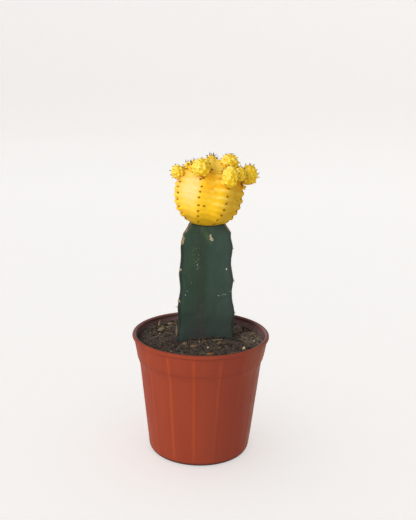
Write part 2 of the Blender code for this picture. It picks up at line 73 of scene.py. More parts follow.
# %% Camera
CAMERA_PLACE = Vector((3.07, -466.95, 241.17)) * MM
LOOK_DOWN, LOOK_RIGHT, ROLL = (math.radians(angle) for angle in (14.335, 0.0564, 1.2))
bpy.ops.object.select_all(action="DESELECT")
bpy.ops.object.camera_add()
camera = bpy.context.object
camera.data.lens = 54.84
camera.matrix_world = (Matrix.Translation(CAMERA_PLACE)
                       @ Matrix.Rotation(-LOOK_RIGHT, 4, "Z")
                       @ Matrix.Rotation(math.radians(90.0) - LOOK_DOWN, 4, "X")
                       @ Matrix.Rotation(ROLL, 4, "Z"))
scene = bpy.context.scene
scene.camera = camera
scene.view_settings.view_transform = "Standard"
print("camera at", [round(value, 3) for value in camera.location])


# %% Small helpers for picking and changing a piece
def pick(*pieces):
    """Select only these pieces; the first is the active one."""
    bpy.ops.object.select_all(action="DESELECT")
    for piece in pieces:
        piece.select_set(True)
    bpy.context.view_layer.objects.active = pieces[0]


@contextmanager
def editing(piece):
    """Edit mode on the whole of a piece, left again at the end."""
    pick(piece)
    bpy.ops.object.mode_set(mode="EDIT")
    bpy.ops.mesh.select_all(action="SELECT")
    yield
    bpy.ops.object.mode_set(mode="OBJECT")


def change(piece, kind, **settings):
    """Add a modifier with these settings and apply it."""
    step = piece.modifiers.new(kind.lower(), kind)
    for name, value in settings.items():
        setattr(step, name, value)
    pick(piece)
    bpy.ops.object.modifier_apply(modifier=step.name)


def settle(piece, name):
    """Name a new piece, and put its place, turn and size in its mesh."""
    piece.name = name
    piece.data.name = name
    pick(piece)
    bpy.ops.object.transform_apply(location=True, rotation=True, scale=True)
    return piece


def points_of(piece):
    """The places of a piece's vertices in mm, one row each."""
    places = np.empty(len(piece.data.vertices) * 3)
    piece.data.vertices.foreach_get("co", places)
    return places.reshape(-1, 3) / MM


def join(name, pieces):
    """Make one piece of several."""
    pick(*pieces)
    bpy.ops.object.join()
    return settle(bpy.context.object, name)


def outward(azimuth, elevation=0.0):
    """Unit vector from degrees."""
    turn, up = math.radians(azimuth), math.radians(elevation)
    return Vector((math.cos(up) * math.cos(turn), math.cos(up) * math.sin(turn), math.sin(up)))


# %% Helpers for turned shapes
def turned(name, outline, steps):
    """Extrude one point along an outline of (radius, height) in mm, then spin it round Z."""
    radius, height = outline[0]
    bpy.ops.object.select_all(action="DESELECT")
    bpy.ops.mesh.primitive_plane_add(size=MM, location=(radius * MM, 0.0, height * MM))
    piece = settle(bpy.context.object, name)
    with editing(piece):
        bpy.ops.mesh.merge(type="CENTER")
        for next_radius, next_height in outline[1:]:
            step = ((next_radius - radius) * MM, 0.0, (next_height - height) * MM)
            bpy.ops.mesh.extrude_region_move(TRANSFORM_OT_translate={"value": step})
            radius, height = next_radius, next_height
        bpy.ops.mesh.select_all(action="SELECT")
        bpy.ops.mesh.spin(steps=steps, angle=TAU, center=(0.0, 0.0, 0.0), axis=(0.0, 0.0, 1.0))
        bpy.ops.mesh.select_all(action="SELECT")
        bpy.ops.mesh.remove_doubles(threshold=0.005 * MM)
        bpy.ops.mesh.normals_make_consistent(inside=False)
    bpy.ops.object.shade_smooth()
    return piece


def arc(centre, radii, start, end, steps):
    """Points on an arc, from one angle to another in degrees."""
    angles = [math.radians(start + (end - start) * step / steps) for step in range(steps + 1)]
    return [(centre[0] + radii[0] * math.cos(angle), centre[1] + radii[1] * math.sin(angle))
            for angle in angles]


def straight(start, end, steps):
    """Evenly spaced points from one point of an outline to another."""
    return [tuple(a + (b - a) * step / steps for a, b in zip(start, end))
            for step in range(steps + 1)]


# %% Floor, wall and lamp
FLOOR_RADIUS, WALL_CURVE, WALL_TOP = 1800.0, (900.0, 700.05), 1500.0
LAMP_WAY = outward(-137.0, 32.0)
LAMP_DISTANCE, LAMP_AIM = 1.3, Vector((0.0, 0.0, 0.1))      # metres

wall_curve = arc((FLOOR_RADIUS, 700.0), WALL_CURVE, -90.0, 0.0, 16)
studio = turned("studio", [(0.0, -0.05), *wall_curve, (2700.0, WALL_TOP)], 96)
studio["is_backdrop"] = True

bpy.ops.object.light_add(type="AREA", location=LAMP_AIM + LAMP_WAY * LAMP_DISTANCE,
                         rotation=LAMP_WAY.to_track_quat("Z", "Y").to_euler())
key = bpy.context.object
key.name = "key_lamp"
key.data.size = 0.7
key.data.energy = 11.0
print("studio floor and lamp ready")

# %% [markdown]
# ## Finishes from nodes
#
# Every finish is built from a few kinds of node: noise for mottling, a ramp to sort it into
# colours, and a bump for what is too fine to model. The helpers below only make those chains
# short to write, and always work on the finish that was started last.


# %% Helpers for node finishes
def finish_named(name, roughness, shine=0.5, **sockets):
    """Start a material with plain values on its shader; the helpers below work on the last one."""
    global tree, shader
    material = bpy.data.materials.new(name)
    material.use_nodes = True
    tree = material.node_tree
    shader = tree.nodes["Principled BSDF"]
    for socket, value in dict(Roughness=roughness, Specular_IOR_Level=shine, **sockets).items():
        shader.inputs[socket.replace("_", " ")].default_value = value
    return material


def add(kind, settings=None, **sockets):
    """A node; a socket given another node's output is linked to it."""
    node = tree.nodes.new("ShaderNode" + kind)
    for name, value in (settings or {}).items():
        setattr(node, name, value)
    for name, value in sockets.items():
        socket = node.inputs[int(name[1:]) if name[0] == "_" else name.replace("_", " ")]
        if isinstance(value, bpy.types.NodeSocket):
            tree.links.new(value, socket)
        else:
            socket.default_value = value
    return node


def along(axis, space="Object"):
    """Place along one axis, in metres."""
    where = add("TexCoord").outputs[space]
    return add("SeparateXYZ", None, Vector=where).outputs[axis]


def noise(size, detail=3.0, rough=0.55, stretch=(1.0, 1.0, 1.0)):
    """Noise from 0 to 1 whose patches are about size mm, drawn out along an axis by stretch."""
    where = add("TexCoord").outputs["Object"]
    scale = [1.0 / (size * MM * part) for part in stretch]
    where = add("Mapping", {"vector_type": "POINT"}, Vector=where, Scale=scale)
    return add("TexNoise", None, Vector=where.outputs["Vector"], Scale=1.0, Detail=detail,
               Roughness=rough).outputs["Fac"]


def sort(value, low, high, start=0.0, end=1.0):
    """Spread value so that low to high becomes start to end, cut off outside."""
    return add("MapRange", None, Value=value, From_Min=low, From_Max=high,
               To_Min=start, To_Max=end).outputs["Result"]


def blend(share, first, second, way="MIX"):
    """Mix two colours; share is a number or another node's output."""
    first, second = (value if isinstance(value, bpy.types.NodeSocket) else (*value, 1.0)
                     for value in (first, second))
    return add("Mix", {"data_type": "RGBA", "blend_type": way},
               _0=share, _6=first, _7=second).outputs[2]


def times(first, second, way="MULTIPLY"):
    """Two values combined, by multiplying them unless told otherwise."""
    return add("Math", {"operation": way}, _0=first, _1=second).outputs[0]


def painted(name):
    """A value painted on the piece's points."""
    return add("Attribute", {"attribute_name": name}).outputs["Fac"]


def coats(base, *layers):
    """Lay colours over a base: each where its value is painted, and as thick as its share."""
    for name, share, colour in layers:
        mask = painted(name)
        base = blend(mask if share == 1.0 else times(mask, share), base, colour)
    return base


def bump(height, depth, strength=1.0):
    """Fine relief, depth mm deep."""
    node = add("Bump", None, Height=height, Distance=depth * MM, Strength=strength)
    tree.links.new(node.outputs["Normal"], shader.inputs["Normal"])


def wire(**sockets):
    """Link values to the shader's sockets."""
    for name, value in sockets.items():
        tree.links.new(value, shader.inputs[name.replace("_", " ")])


def mottled(name, roughness, shine, patches, limits, first, second, relief=None):
    """A finish of two colours in patches of noise, and relief as (noise, depth, strength)."""
    material = finish_named(name, roughness, shine)
    wire(Base_Color=blend(sort(noise(*patches), *limits), first, second))
    if relief:
        bump(noise(*relief[0]), *relief[1:])
    return material


print("finish helpers ready")

# %% Studio paper and sky
paper = finish_named("studio_paper", 0.9, 0.1, Emission_Strength=0.48,
                                   Emission_Color=(1.0, 0.985, 0.97, 1.0))
away = add("VectorMath", {"operation": "LENGTH"}, _0=add("TexCoord").outputs["Object"])
# The paper is painted darker from one to 2.3 m out: painted shade on the far floor and wall.
wire(Base_Color=blend(sort(away.outputs["Value"], 1.0, 2.3),
                                    (0.74, 0.732, 0.722), (0.60, 0.59, 0.58)))
studio.data.materials.append(paper)
sky = bpy.data.worlds.new("sky")
scene.world = sky
sky.use_nodes = True
glow = sky.node_tree.nodes["Background"]
glow.inputs["Color"].default_value = (1.0, 0.99, 0.98, 1.0)
tree = sky.node_tree
east = along("X", "Generated")
tree.links.new(sort(east, -1.0, 1.0, 0.75, 0.25), glow.inputs["Strength"])
print("paper and sky ready")

# %% [markdown]
# ## Painting and pushing
#
# A ribbed or knobbly skin is shaped as with a sculpting brush: a weight is painted on the
# points that should move, and a Displace modifier pushes them along their normals. The same
# kind of paint, kept as an attribute, tells a finish where its cork or blush belongs. Most
# weights are made of two curves, a bell round a line and a ramp between two places.


# %% Helpers to paint weights and push a surface
def paint(piece, name, weights):
    """A vertex group from one weight a point."""
    group = piece.vertex_groups.new(name=name)
    levels = np.rint(np.clip(weights, 0.0, 1.0) * 250.0).astype(int)
    for level in np.unique(levels[levels > 0]):
        group.add(np.flatnonzero(levels == level).tolist(), level / 250.0, "REPLACE")
    return group.name


def push(piece, weights, depth):
    """Push the painted points outward by depth mm, or inward if it is negative."""
    change(piece, "DISPLACE", strength=depth * MM, mid_level=0.0,
           vertex_group=paint(piece, "push", weights))
    piece.vertex_groups.clear()


def roughen(piece, size, depth, weights=None, way="NORMAL"):
    """Push a surface in and out with noise whose lumps are about size mm, up to depth mm."""
    texture = bpy.data.textures.new("lumps", "CLOUDS")
    texture.noise_scale = size * MM
    settings = {"vertex_group": paint(piece, "rough", weights)} if weights is not None else {}
    change(piece, "DISPLACE", texture=texture, strength=2.0 * depth * MM, mid_level=0.5,
           texture_coords="LOCAL", direction=way, **settings)
    piece.vertex_groups.clear()


def stain(piece, name, values):
    """Keep one value a point for the finish to read."""
    layer = piece.data.attributes.new(name, "FLOAT", "POINT")
    layer.data.foreach_set("value", np.clip(values, 0.0, 1.0).astype(np.float32))


def bell(distance, width):
    """1 at no distance, fading smoothly with the width."""
    return np.exp(-(distance / width) ** 2)


def ramp(values, start, end):
    """0 at start and before, 1 at end and beyond, and even between; end may be the lower."""
    return np.clip((values - start) / (end - start), 0.0, 1.0)


def copy_of(node, name, voxel, smooth=4):
    """A fine, even copy of a fixed body, to be shaped further."""
    piece = bpy.data.objects.new(name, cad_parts[node].data.copy())
    scene.collection.objects.link(piece)
    piece.data.materials.clear()
    with editing(piece):
        bpy.ops.mesh.remove_doubles(threshold=0.002 * MM)
    change(piece, "REMESH", mode="VOXEL", voxel_size=voxel * MM, use_smooth_shade=True)
    change(piece, "SMOOTH", factor=0.5, iterations=smooth)
    return settle(piece, name)


def fit(piece, material, slot, *nodes):
    """Finish a piece, hang it from the root, and hide the fixed parts it replaces."""
    if material is not None:
        piece.data.materials.clear()
        piece.data.materials.append(material)
    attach(piece, "root")
    if nodes:
        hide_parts(*nodes)
    print(piece.name, len(piece.data.polygons), "faces")


print("painting helpers ready")

# %% [markdown]
# ## Pot
#
# A nursery pot is injection moulded in one shot: a thin wall, a rolled lip, a collar that steps
# in so that pots stack, a rounded foot on a standing ring, and drain holes. Such a shape is a
# profile turned round its axis. Faint upright lines are left by the mould; they are painted on
# the turned wall and pushed out by a quarter of a millimetre.

# %% Pot profile and its turning
WALL = 1.0
RIM_RADIUS, RIM_HEIGHT, LIP_BEAD = 42.5, 75.5, 1.25
COLLAR_TOP, COLLAR_FOOT = (41.4, 73.0), (39.35, 61.6)
BODY_TOP, BODY_FOOT = (37.87, 58.0), (31.9, 4.0)
FOOT_RADIUS = 29.8
FLOOR_TOP, FLOOR_UNDERSIDE = 3.4, 2.2
LEDGE = [(39.30, 61.45), (39.06, 61.32), (39.00, 61.15), (38.90, 60.4), (38.55, 59.4),
         (38.12, 58.6)]

outer = straight(COLLAR_TOP, COLLAR_FOOT, 4) + LEDGE + straight(BODY_TOP, BODY_FOOT, 8)
inner = [(radius - WALL, height) for radius, height in reversed(outer[:-1])]
lip = arc((RIM_RADIUS - LIP_BEAD, RIM_HEIGHT - LIP_BEAD), (LIP_BEAD, LIP_BEAD), 205.0, -62.0, 18)
foot = arc((FOOT_RADIUS, BODY_FOOT[1]), (BODY_FOOT[0] - FOOT_RADIUS, BODY_FOOT[1]),
           0.0, -90.0, 8)[1:]
pot = turned("pot_shell", [(0.0, FLOOR_TOP), (30.5, FLOOR_TOP), (31.2, 4.2)] + inner + lip
             + outer + foot + [(28.0, 0.0), (27.6, FLOOR_UNDERSIDE), (0.0, FLOOR_UNDERSIDE)], 448)

# %% Drain holes and mould lines
DRAINS, DRAIN_RADIUS, DRAIN_CIRCLE = 6, 3.5, 19.0
LINES, FIRST_LINE = 16, -94.5
LINE_GAP = 360.0 / LINES
# How much lighter each mould line is painted: partly its own colour, partly a painted highlight.
LINE_TONES = (0.8, 0.6, 0.1, 0.2, 0.5, 0.3, 0.6, 0.2, 0.7, 0.4, 0.3, 0.6, 0.3, 0.5, 0.35, 1.0)

drills = []
for number in range(DRAINS):
    middle = outward(360.0 / DRAINS * number) * DRAIN_CIRCLE + Vector((0.0, 0.0, 2.8))
    bpy.ops.object.select_all(action="DESELECT")
    bpy.ops.mesh.primitive_cylinder_add(vertices=40, radius=DRAIN_RADIUS * MM, depth=6.0 * MM,
                                        location=middle * MM)
    drills.append(bpy.context.object)
drill = join("drill", drills)
change(pot, "BOOLEAN", operation="DIFFERENCE", solver="EXACT", object=drill)
bpy.data.objects.remove(drill)

spot = points_of(pot)
height = spot[:, 2]
around = np.degrees(np.arctan2(spot[:, 1], spot[:, 0]))
radius = np.hypot(spot[:, 0], spot[:, 1])
profile = np.interp(height, [BODY_FOOT[1], BODY_TOP[1], 59.9, COLLAR_TOP[1]],
                    [BODY_FOOT[0], BODY_TOP[0], 39.0, COLLAR_TOP[0]])
inside = (radius < profile - 0.6) & (height > 3.0)
outside = radius > profile - 0.3

number = np.rint((around - FIRST_LINE) / LINE_GAP)
off_line = np.radians(around - FIRST_LINE - number * LINE_GAP) * radius
on_wall = ramp(height, 2.5, 5.5) * ramp(height, 73.5, 72.0)
line = outside * on_wall * bell(off_line, 0.75)
push(pot, line, 0.25)

number = number.astype(int) % LINES
short = np.where(number == 1, ramp(height, 22.0, 47.0), 1.0)
# The mould lines are painted lighter, partly their own colour and partly a painted highlight.
stain(pot, "rise", line * np.array(LINE_TONES)[number] * short)
# The inner wall is painted darker and greyer, and its right side, facing the lamp, darker still as
# painted shade.
stain(pot, "inside", 1.0 * (inside & (height < 73.4)))
stain(pot, "inner_wall_shade", inside * bell(around + 8.0, 26.0))
left_front = 0.15 + 0.85 * bell(around + 114.0, 38.0)
stain(pot, "shadow", bell(height - 60.9, 0.6) * outside * left_front)
# The foot is painted near black at the floor: a painted contact shadow.
stain(pot, "foot", ramp(height, 2.3, 1.2))
# The top of the lip is painted greyish pink, a painted reflection, over more of its width at the
# back.
sheen_reach = np.interp(np.sin(np.radians(around)), (-1.0, -0.6, -0.2, 0.8), (40.7, 41.1, 42.0, 42.8))
stain(pot, "lip_sheen", (height > 73.4) * ramp(sheen_reach - radius, -0.175, 0.175))
# At the sides and back the lip gets a thin dark line of painted shade and, inside it, a light line
# of painted highlight.
aside = (height > 72.8) * ramp(spot[:, 1], -27.0, -17.0)
stain(pot, "lip_shade_line", aside * bell(radius - 41.45, 0.42))
stain(pot, "edge", aside * bell(radius - 40.55, 0.30))
pick(pot)
bpy.ops.object.shade_smooth_by_angle(angle=math.radians(40.0))
print("pot", len(pot.data.polygons))

# %% [markdown]
# The plastic is painted a lighter orange along the mould lines, partly their own colour and
# partly a painted highlight. The inner wall is painted darker and greyer, with painted shade
# on the side that faces the lamp, and the right half outside is painted darker as shade, with
# a grey painted reflection at its edge. The top of the lip is painted greyish pink as a painted
# reflection, darker at the back as painted shade, with thin painted lines of shade and
# highlight at the sides and back. The foot is painted dark as a contact shadow.

# %% Pot finish: terracotta-coloured plastic
plastic = finish_named("terracotta_plastic", 0.42, 0.03)
tone = blend(sort(noise(14.0, 4.0, stretch=(1.0, 1.0, 3.0)), 0.3, 0.7),
             (0.264, 0.045, 0.022), (0.294, 0.053, 0.026))
# Painted shade: the right half, turned from the lamp, is painted darker, and its edge greyer as a
# painted reflection.
across = along("X")
tone = blend(sort(across, -0.004, 0.018), tone, (0.256, 0.049, 0.027))
tone = blend(sort(across, 0.025, 0.037, 0.0, 0.6), tone, (0.26, 0.095, 0.058))
# Mould lines painted lighter, partly as a painted highlight, and the painted shadow under the
# collar.
tone = coats(tone, ("rise", 0.85, (0.37, 0.066, 0.022)), ("shadow", 0.35, (0.13, 0.028, 0.020)))
scuff = sort(noise(2.2, 6.0, 0.7, (1.0, 1.0, 0.35)), 0.62, 0.80, 0.0, 0.35)
tone = blend(scuff, tone, (0.33, 0.09, 0.048))
# Painted shade: the lip's painted reflection is darker at the back than at the front.
front = sort(along("Y"), 0.006, 0.026, 1.0, 0.0)
lip_sheen_tone = blend(noise(3.0, 4.0), blend(front, (0.105, 0.048, 0.048), (0.22, 0.120, 0.110)),
             blend(front, (0.160, 0.075, 0.072), (0.30, 0.160, 0.150)))
# Painted reflection and shade on the lip, painted lines round it, and a painted contact shadow at
# the foot.
tone = coats(tone, ("lip_sheen", 1.0, lip_sheen_tone), ("lip_shade_line", 0.8, (0.085, 0.030, 0.030)),
             ("edge", 0.6, (0.34, 0.13, 0.085)), ("foot", 0.9, (0.045, 0.028, 0.022)))
# Inner wall: darker and greyer, with painted shade on the side facing the lamp.
dull = blend(noise(3.0, 4.0), (0.190, 0.120, 0.118), (0.330, 0.200, 0.195))
dull = coats(dull, ("inner_wall_shade", 0.8, (0.060, 0.034, 0.032)))
wire(Base_Color=coats(tone, ("inside", 1.0, dull)),
     Roughness=sort(noise(6.0, 4.0), 0.3, 0.7, 0.36, 0.50))
bump(noise(0.6, 4.0, 0.6), 0.03, 0.5)
fit(pot, plastic, "terracotta_plastic", "pot")

# %% [markdown]
# ## Potting soil
#
# Peat soil is a dark mass with a crumbly top. The mass is a plug extruded up the inside of the
# pot, with its top cut into fine rings by insets so that noise can raise it in lumps. Loose
# crumbs are a few small rocks modelled once and strewn hundreds of times.

# %% Height of the soil and its plug
STEM = np.array([0.9, 5.5])     # where the stem's axis stands
# Each rib of the stem: its azimuth, its reach at the soil, where it is pared and at the cut, and
# the height of one of its areoles.
RIBS = {
    "left": (-135.0, 21.1, 18.5, 9.9, 93.8),
    "right": (-15.0, 21.0, 17.1, 13.5, 88.8),
    "rear": (105.0, 21.0, 17.8, 12.2, 100.5),
}
SOIL = 70.6
PLUG = ((30.4, 3.8), (30.9, 5.2), (36.7, 58.0), (38.0, 59.9), (39.75, SOIL - 1.0))
RISE = 6.0


def soil_height(x, y):
    """Height of the soil in mm: heaped a little at the stem, and falling slightly to the right."""
    mound = 2.2 * np.exp(-((np.hypot(x - STEM[0], y - STEM[1]) / 25.0) ** 4))
    lumps = 0.28 * np.sin(0.42 * x + 1.3) * np.cos(0.37 * y - 0.6)
    return SOIL + mound - 0.018 * x + lumps + 0.14 * np.sin(0.83 * x - 0.71 * y)


def towards_lit_soil(x, y):
    """How far towards the right and back a place lies, where the soil gets painted light, in mm."""
    return 0.75 * x + 0.65 * y


bpy.ops.object.select_all(action="DESELECT")
bpy.ops.mesh.primitive_circle_add(vertices=448, radius=PLUG[0][0] * MM, fill_type="NGON",
                                  location=(0.0, 0.0, PLUG[0][1] * MM))
soil = settle(bpy.context.object, "soil_mass")
with editing(soil):
    for (radius, height), (next_radius, next_height) in zip(PLUG, PLUG[1:]):
        step = (0.0, 0.0, (next_height - height) * MM)
        bpy.ops.mesh.extrude_region_move(TRANSFORM_OT_translate={"value": step})
        bpy.ops.transform.resize(value=(next_radius / radius, next_radius / radius, 1.0),
                                 center_override=(0.0, 0.0, 0.0))
    for ring in range(84):
        bpy.ops.mesh.inset(thickness=0.45 * MM)
bpy.ops.object.shade_smooth()

spot = points_of(soil)
top = spot[:, 2] > SOIL - 1.2
lift = top * (soil_height(spot[:, 0], spot[:, 1]) - PLUG[-1][1]) / RISE
change(soil, "DISPLACE", strength=RISE * MM, mid_level=0.0, direction="Z",
       vertex_group=paint(soil, "height", lift))
soil.vertex_groups.clear()
loose = top * ramp(np.hypot(spot[:, 0], spot[:, 1]), 39.2, 38.2)
roughen(soil, 3.2, 0.45, loose, "Z")
roughen(soil, 1.1, 0.45, loose, "Z")
spot = points_of(soil)
# Painted light: towards the right and back, where the wall shades it, the soil is painted paler.
stain(soil, "dry", top * ramp(towards_lit_soil(spot[:, 0], spot[:, 1]), 14.0, 28.0))
print("soil", len(soil.data.polygons))

# %% Soil finish
peat = finish_named("potting_soil", 0.95, 0.2)
dark = blend(sort(noise(1.6, 5.0, 0.65), 0.35, 0.68), (0.046, 0.035, 0.029), (0.100, 0.076, 0.060))
dark = blend(sort(noise(5.0, 3.0), 0.45, 0.75, 0.0, 0.5), dark, (0.070, 0.060, 0.050))
# The paler soil towards the right and back is painted light.
pale = blend(noise(1.4, 4.0), (0.110, 0.088, 0.074), (0.26, 0.205, 0.170))
wire(Base_Color=coats(dark, ("dry", 1.0, pale)))
bump(noise(0.5, 5.0, 0.7), 0.25, 0.9)
fit(soil, peat, "potting_soil", "soil")


# %% Helpers for small pieces strewn in numbers
def small_rock(seed, flat=0.7):
    """One small rock: an icosphere with its points shaken."""
    bpy.ops.object.select_all(action="DESELECT")
    bpy.ops.mesh.primitive_ico_sphere_add(subdivisions=1, radius=1.0)
    rock = bpy.context.object
    with editing(rock):
        bpy.ops.transform.resize(value=(1.0, 0.8, flat))
        bpy.ops.transform.vertex_random(offset=0.35, uniform=1.0, normal=0.3, seed=seed)
    return settle(rock, "rock")


def strew(name, masters, places, tints=None):
    """Copies of the masters at the given places, joined into one piece."""
    copies = []
    for number, place in enumerate(places):
        copy = bpy.data.objects.new(name, masters[number % len(masters)].data.copy())
        scene.collection.objects.link(copy)
        copy.matrix_world = place
        if tints is not None:
            stain(copy, "tint", np.full(len(copy.data.vertices), tints[number]))
        copies.append(copy)
    return join(name, copies)


def placed(spot, turn, sizes):
    """A placing matrix from a spot in mm, a turn and sizes in mm."""
    return Matrix.LocRotScale(Vector(spot) * MM, turn, Vector(sizes) * MM)


def tumbled(rng):
    """A turn drawn at random."""
    return Euler([rng.uniform(0.0, TAU) for _ in range(3)])


def side_of(body, way, z):
    """Where a level line from outside towards the stem's axis meets a body, in mm."""
    _, place, _, _ = body.ray_cast((Vector((*STEM, z)) + way * 40.0) * MM, -way)
    return place / MM


def inside_stem(x, y, margin):
    """True where the ribbed stem stands."""
    away = math.hypot(x - STEM[0], y - STEM[1])
    if away < 10.2 + margin:
        return True
    turn = math.degrees(math.atan2(y - STEM[1], x - STEM[0]))
    for azimuth, *_ in RIBS.values():
        off = math.radians((turn - azimuth + 180.0) % 360.0 - 180.0)
        half_width = 2.6 + margin + 0.55 * max(21.0 - away, 0.0)
        if abs(off) < 1.2 and abs(away * math.sin(off)) < half_width and away < 21.0 + margin:
            return True
    return False


print("strewing helpers ready")

# %% Crumbs strewn on the soil, and heaped at the stem's foot
STREWN, HEAPED = 1500, 300
LIT_CRUMBS = 20.0

rng = random.Random(4)
rocks = [small_rock(seed) for seed in range(5)]
places, tints = [], []
while len(places) < STREWN:
    away, turn = 38.9 * math.sqrt(rng.random()), rng.uniform(0.0, TAU)
    x, y = away * math.cos(turn), away * math.sin(turn)
    size = 0.35 + 0.75 * rng.random() ** 3
    if inside_stem(x, y, 0.2) or away + size > 39.4:
        continue
    turn = tumbled(rng)
    sizes = (size, size * rng.uniform(0.6, 1.0), size)
    places.append(placed((x, y, soil_height(x, y) + 0.25 * size), turn, sizes))
    # Crumbs towards the right and back get pale tints: painted light.
    tints.append(rng.random() if towards_lit_soil(x, y) < LIT_CRUMBS else rng.uniform(0.75, 0.985))
for number in range(HEAPED):
    turn, size = rng.uniform(0.0, TAU), rng.uniform(0.45, 1.05)
    way = Vector((math.cos(turn), math.sin(turn), 0.0))
    x, y, _ = side_of(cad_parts["rootstock"], way, SOIL + 2.4) + way * rng.uniform(0.0, 1.0)
    turn = tumbled(rng)
    z = soil_height(x, y) + rng.uniform(0.1, 0.9)
    places.append(placed((x, y, z), turn, (size, size * rng.uniform(0.6, 1.0), size)))
    tints.append(rng.uniform(0.2, 0.95))
crumbs = strew("soil_crumbs", rocks, places, tints)

crumb = finish_named("soil_crumb", 0.95, 0.2)
tint = add("ValToRGB", None, Fac=painted("tint"))
stops = tint.color_ramp.elements
stops[0].color = (0.034, 0.026, 0.022, 1.0)
stops[-1].color = (0.24, 0.17, 0.11, 1.0)
for position, colour in ((0.60, (0.078, 0.058, 0.046)), (0.90, (0.105, 0.070, 0.046)),
                         (0.985, (0.17, 0.105, 0.060))):
    stops.new(position).color = (*colour, 1.0)
shade = blend(noise(0.5, 3.0), (0.3, 0.3, 0.3), (1.0, 1.0, 1.0))
wire(Base_Color=blend(0.8, tint.outputs["Color"], shade, "MULTIPLY"))
bump(noise(0.3, 3.0), 0.08, 0.8)
fit(crumbs, crumb, "potting_soil")

# %% Fine root fibres on the soil
FIBRES = 170
# Each patch: where its middle lies, and how far its fibres spread.
PATCHES = ((-23.0, 15.0, 7.0), (28.0, 12.0, 8.0), (0.0, 0.0, 30.0), (6.0, -16.0, 14.0))

bpy.ops.object.select_all(action="DESELECT")
bpy.ops.mesh.primitive_circle_add(vertices=4, radius=0.02, fill_type="NGON",
                                  rotation=(0.0, 0.5 * math.pi, 0.0))
fibre = settle(bpy.context.object, "fibre")
with editing(fibre):
    for shift, lift, share in ((-0.05, 0.05, 1.2), (0.0, 0.04, 1.1), (0.05, 0.0, 0.9),
                               (0.09, -0.03, 0.9), (0.12, -0.05, 0.4)):
        bpy.ops.mesh.extrude_region_move(TRANSFORM_OT_translate={"value": (0.2, shift, lift)})
        bpy.ops.transform.resize(value=(1.0, share, share))
    bpy.ops.mesh.select_all(action="SELECT")
    bpy.ops.mesh.normals_make_consistent(inside=False)

rng = random.Random(8)
places, tints = [], []
while len(places) < FIBRES:
    patch_x, patch_y, spread = rng.choice(PATCHES)
    x, y = rng.gauss(patch_x, spread), rng.gauss(patch_y, spread)
    length = rng.uniform(2.0, 6.5)
    if inside_stem(x, y, 3.0) or math.hypot(x, y) + 0.6 * length > 38.6:
        continue
    turn = Euler((rng.uniform(-0.5, 0.5), rng.uniform(-0.25, 0.1), rng.uniform(0.0, TAU)))
    places.append(placed((x, y, soil_height(x, y) + 0.35), turn, (length, length, 0.8 * length)))
    tints.append(rng.random())
fibres = strew("soil_fibres", [fibre], places, tints)
hay = finish_named("root_fibre", 0.7, 0.2)
light = blend(noise(0.8, 3.0), (0.20, 0.145, 0.085), (0.44, 0.35, 0.22))
wire(Base_Color=blend(painted("tint"), (0.085, 0.055, 0.035), light))
bump(noise(0.25, 2.0), 0.03, 0.6)
fit(fibres, hay, "straw")

# %% [markdown]
# ## Bark, perlite and straw in the soil
#
# The larger bits already have their places. Each is a fine copy of its fixed body, roughened:
# bark splits along its grain, perlite is popped glass with a knobbly white skin, and the straws
# are dry stalks.

# %% Finishes of bark, perlite and straw
bark = finish_named("bark", 0.85, 0.25)
grain = noise(0.45, 4.0, 0.7)
split = sort(grain, 0.35, 0.7)
wire(Base_Color=blend(sort(noise(2.5, 2.0), 0.35, 0.65),
                      blend(split, (0.085, 0.038, 0.016), (0.27, 0.115, 0.042)),
                      blend(split, (0.12, 0.070, 0.038), (0.38, 0.24, 0.12))))
bump(grain, 0.15, 0.9)
pale_bark = mottled("pale_bark", 0.85, 0.2, (0.45, 4.0, 0.7), (0.35, 0.7), (0.11, 0.076, 0.046),
                    (0.34, 0.255, 0.152), ((0.45, 4.0, 0.7), 0.15, 0.9))
perlite = mottled("perlite", 0.8, 0.3, (0.7, 4.0), (0.4, 0.65), (0.42, 0.33, 0.22),
                  (0.80, 0.74, 0.64), ((0.35, 3.0), 0.12, 0.9))
amber_grain = mottled("amber_grain", 0.7, 0.3, (0.9, 4.0), (0.4, 0.65), (0.40, 0.27, 0.12),
                      (0.82, 0.70, 0.44), ((0.35, 3.0), 0.12, 0.9))
straw = mottled("straw", 0.7, 0.2, (0.8, 3.0, 0.6), (0.0, 1.0), (0.13, 0.092, 0.055),
                (0.34, 0.26, 0.155), ((0.25, 2.0), 0.04, 0.6))
print("bark, perlite and straw finishes ready")


# %% Bark chips, perlite grains and straws
def shrink(piece, share):
    """Scale a piece about its own middle."""
    middle = points_of(piece).mean(axis=0) * MM
    with editing(piece):
        bpy.ops.transform.resize(value=(share, share, share), center_override=middle)


def taper(piece, share):
    """Draw a splinter in towards its own axis at both ends."""
    places = points_of(piece)
    middle = places.mean(axis=0)
    off = places - middle
    axis = np.linalg.svd(off, full_matrices=False)[2][0]
    along_axis = off @ axis
    keep = 1.0 - share * (along_axis / np.abs(along_axis).max()) ** 2
    on_axis = along_axis[:, None] * axis
    places = middle + on_axis + (off - on_axis) * keep[:, None]
    piece.data.vertices.foreach_set("co", (places * MM).ravel())


